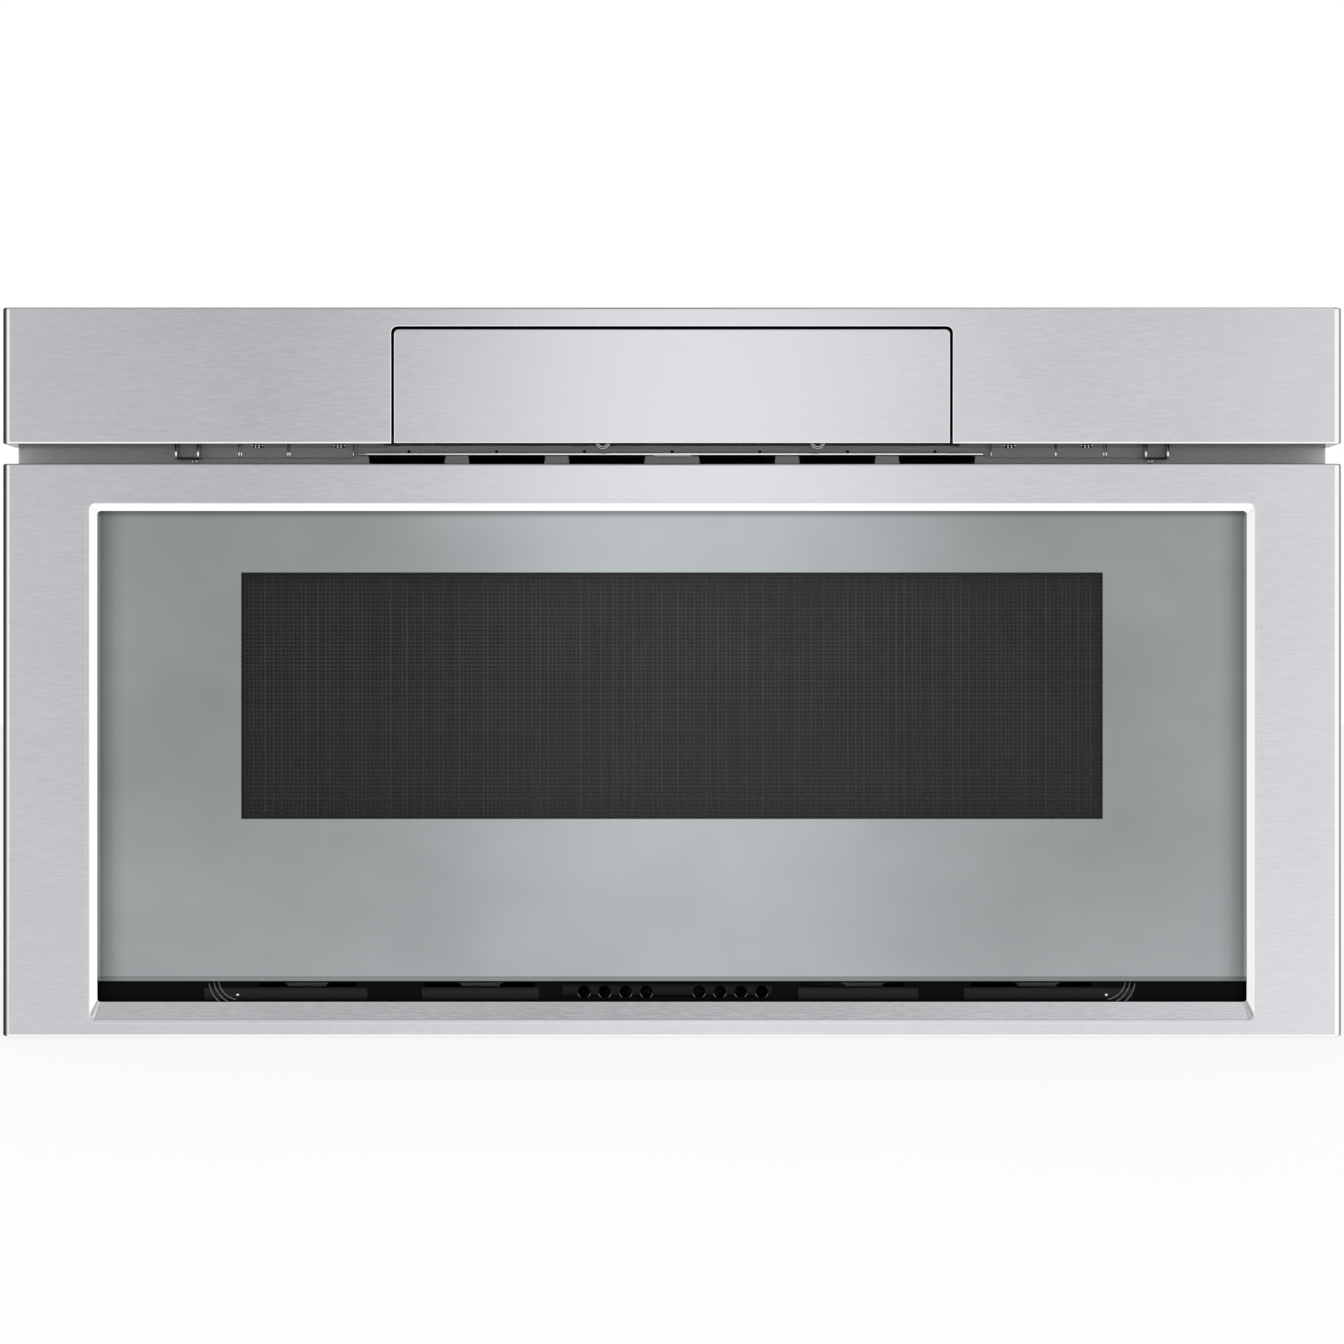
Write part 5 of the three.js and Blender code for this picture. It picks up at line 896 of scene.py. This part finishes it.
# Share of the side-to-side pattern that is left at and below the horizon, by the same sine; the rest is even
# ground, a little lighter to the right.
GROUND_SHARES = [(-0.12, 0.1), (-0.08, 0.16), (-0.05, 0.5), (-0.02, 0.82), (0.045, 0.86), (0.065, 1.0)]
GROUND = [(-12, 0.77), (0, 0.88), (12, 1.02)]
OVERHEAD_FROM = (0.0, 0.1)        # sines over which what is overhead takes the place of white ground
STEEP_FROM = (0.15, 0.35)         # sines, up or down, over which both take the place of the bearings' pattern
DULL_LIGHT = (0.62, 0.62, 0.63, 1.0)
WHITE = (1.0, 1.0, 1.0, 1.0)


def studio_world():
    """White to the camera, plain grey light on dull surfaces, and a soft studio for gloss."""
    world = bpy.data.worlds.new("studio")
    bpy.context.scene.world = world
    world.use_nodes = True
    tree = world.node_tree
    background = tree.nodes["Background"]
    toward = add(tree, "ShaderNodeTexCoord").outputs["Generated"]
    axes = add(tree, "ShaderNodeSeparateXYZ", {0: toward}).outputs
    forward = add(tree, "ShaderNodeMath", {0: axes["Y"], 1: -1.0}, operation="MULTIPLY").outputs[0]
    bearing = add(tree, "ShaderNodeMath", {0: axes["X"], 1: forward}, operation="ARCTAN2").outputs[0]
    turn = add(tree, "ShaderNodeMapRange", {0: bearing, 1: -np.pi, 2: np.pi}).outputs[0]
    across, ground, overhead, front = (
        add(tree, "ShaderNodeValToRGB", {0: turn}, shares(stops, -180, 180)).outputs[0]
        for stops in (BEARINGS, GROUND, OVERHEAD, FRONT))
    height = add(tree, "ShaderNodeMapRange", {0: axes["Z"], 1: -1.0, 2: 1.0}).outputs[0]
    level_of, front_level_of = (add(tree, "ShaderNodeValToRGB", {0: height}, shares(stops, -1, 1)).outputs[0]
                                for stops in (HEIGHTS, FRONT_HEIGHTS))
    level = add(tree, "ShaderNodeMix", {0: front, 6: level_of, 7: front_level_of},
                data_type="RGBA").outputs[2]
    low, high = GROUND_SHARES[0][0], GROUND_SHARES[-1][0]
    near = add(tree, "ShaderNodeMapRange", {0: axes["Z"], 1: low, 2: high}).outputs[0]
    share = add(tree, "ShaderNodeValToRGB", {0: near}, shares(GROUND_SHARES, low, high)).outputs[0]
    pattern = add(tree, "ShaderNodeMix", {0: share, 6: ground, 7: across}, data_type="RGBA").outputs[2]
    above = add(tree, "ShaderNodeMapRange", {
        0: axes["Z"], 1: OVERHEAD_FROM[0], 2: OVERHEAD_FROM[1]}).outputs[0]
    far = add(tree, "ShaderNodeMix", {0: above, 6: WHITE, 7: overhead}, data_type="RGBA").outputs[2]
    steepness = add(tree, "ShaderNodeMath", {0: axes["Z"]}, operation="ABSOLUTE").outputs[0]
    beyond = add(tree, "ShaderNodeMapRange", {0: steepness, 1: STEEP_FROM[0], 2: STEEP_FROM[1]}).outputs[0]
    band = add(tree, "ShaderNodeMix", {0: beyond, 6: pattern, 7: far}, data_type="RGBA").outputs[2]
    gloss = add(tree, "ShaderNodeMix", {0: 1.0, 6: band, 7: level}, data_type="RGBA",
                blend_type="MULTIPLY").outputs[2]
    ray = add(tree, "ShaderNodeLightPath").outputs
    dull = add(tree, "ShaderNodeMix", {0: ray["Is Glossy Ray"], 6: DULL_LIGHT, 7: gloss},
               data_type="RGBA").outputs[2]
    seen = add(tree, "ShaderNodeMath", {0: ray["Is Camera Ray"], 1: ray["Is Transmission Ray"]},
               operation="MAXIMUM").outputs[0]
    final = add(tree, "ShaderNodeMix", {0: seen, 6: dull, 7: WHITE}, data_type="RGBA").outputs[2]
    tree.links.new(final, background.inputs["Color"])
    background.inputs["Strength"].default_value = 1.0


FLOOR_REACH = 14.0
FLOOR_GLOW = 0.8                  # share of plain white in what the camera sees of the floor
CLOUD_MM = 300.0


def floor():
    """A pale floor, white to the camera but for the object's faint shadow."""
    mesh = bpy.data.meshes.new("floor")
    corners = FLOOR_REACH * np.array([(-1, -1, 0), (1, -1, 0), (1, 1, 0), (-1, 1, 0)])
    mesh.from_pydata(corners.tolist(), [], [(0, 1, 2, 3)])
    ground = bpy.data.objects.new("floor", mesh)
    bpy.context.scene.collection.objects.link(ground)
    material = bpy.data.materials.new("pale_floor")
    material.use_nodes = True
    tree = material.node_tree
    tree.nodes.remove(tree.nodes["Principled BSDF"])
    cloud = grain(tree, (CLOUD_MM,) * 3)
    speckle = add(tree, "ShaderNodeValToRGB", {0: cloud}, [(0.3, "#f2f2f2"), (0.7, "#f6f6f6")]).outputs[0]
    dull = add(tree, "ShaderNodeBsdfDiffuse", {"Color": speckle}).outputs[0]
    glow = add(tree, "ShaderNodeEmission", {"Color": WHITE, "Strength": 1.0}).outputs[0]
    lit = add(tree, "ShaderNodeMixShader", {0: FLOOR_GLOW, 1: dull, 2: glow}).outputs[0]
    ray = add(tree, "ShaderNodeLightPath").outputs
    seen = add(tree, "ShaderNodeMath", {0: ray["Is Camera Ray"], 1: ray["Is Transmission Ray"]},
               operation="MAXIMUM")
    shown = add(tree, "ShaderNodeMixShader", {0: seen.outputs[0], 1: dull, 2: lit}).outputs[0]
    tree.links.new(shown, tree.nodes["Material Output"].inputs["Surface"])
    mesh.materials.append(material)
    ground.visible_glossy = False


def soft_lamp(name, place, toward, size, watts):
    """A square soft box, facing a point, that gloss doesn't show."""
    data = bpy.data.lights.new(name, "AREA")
    data.shape = "SQUARE"
    data.size = size
    data.energy = watts
    lamp = bpy.data.objects.new(name, data)
    lamp.location = place
    x, y, z = np.array(place) - np.array(toward)
    lamp.rotation_euler = (np.arctan2(np.hypot(x, y), z), 0.0, np.arctan2(x, -y))
    lamp.visible_glossy = False
    bpy.context.scene.collection.objects.link(lamp)


studio_world()
floor()
soft_lamp("key", (-1.6, -2.6, 2.4), (0.0, 0.0, 0.2), 1.8, 46)
soft_lamp("fill", (2.0, -2.2, 1.4), (0.0, 0.0, 0.2), 2.0, 22)
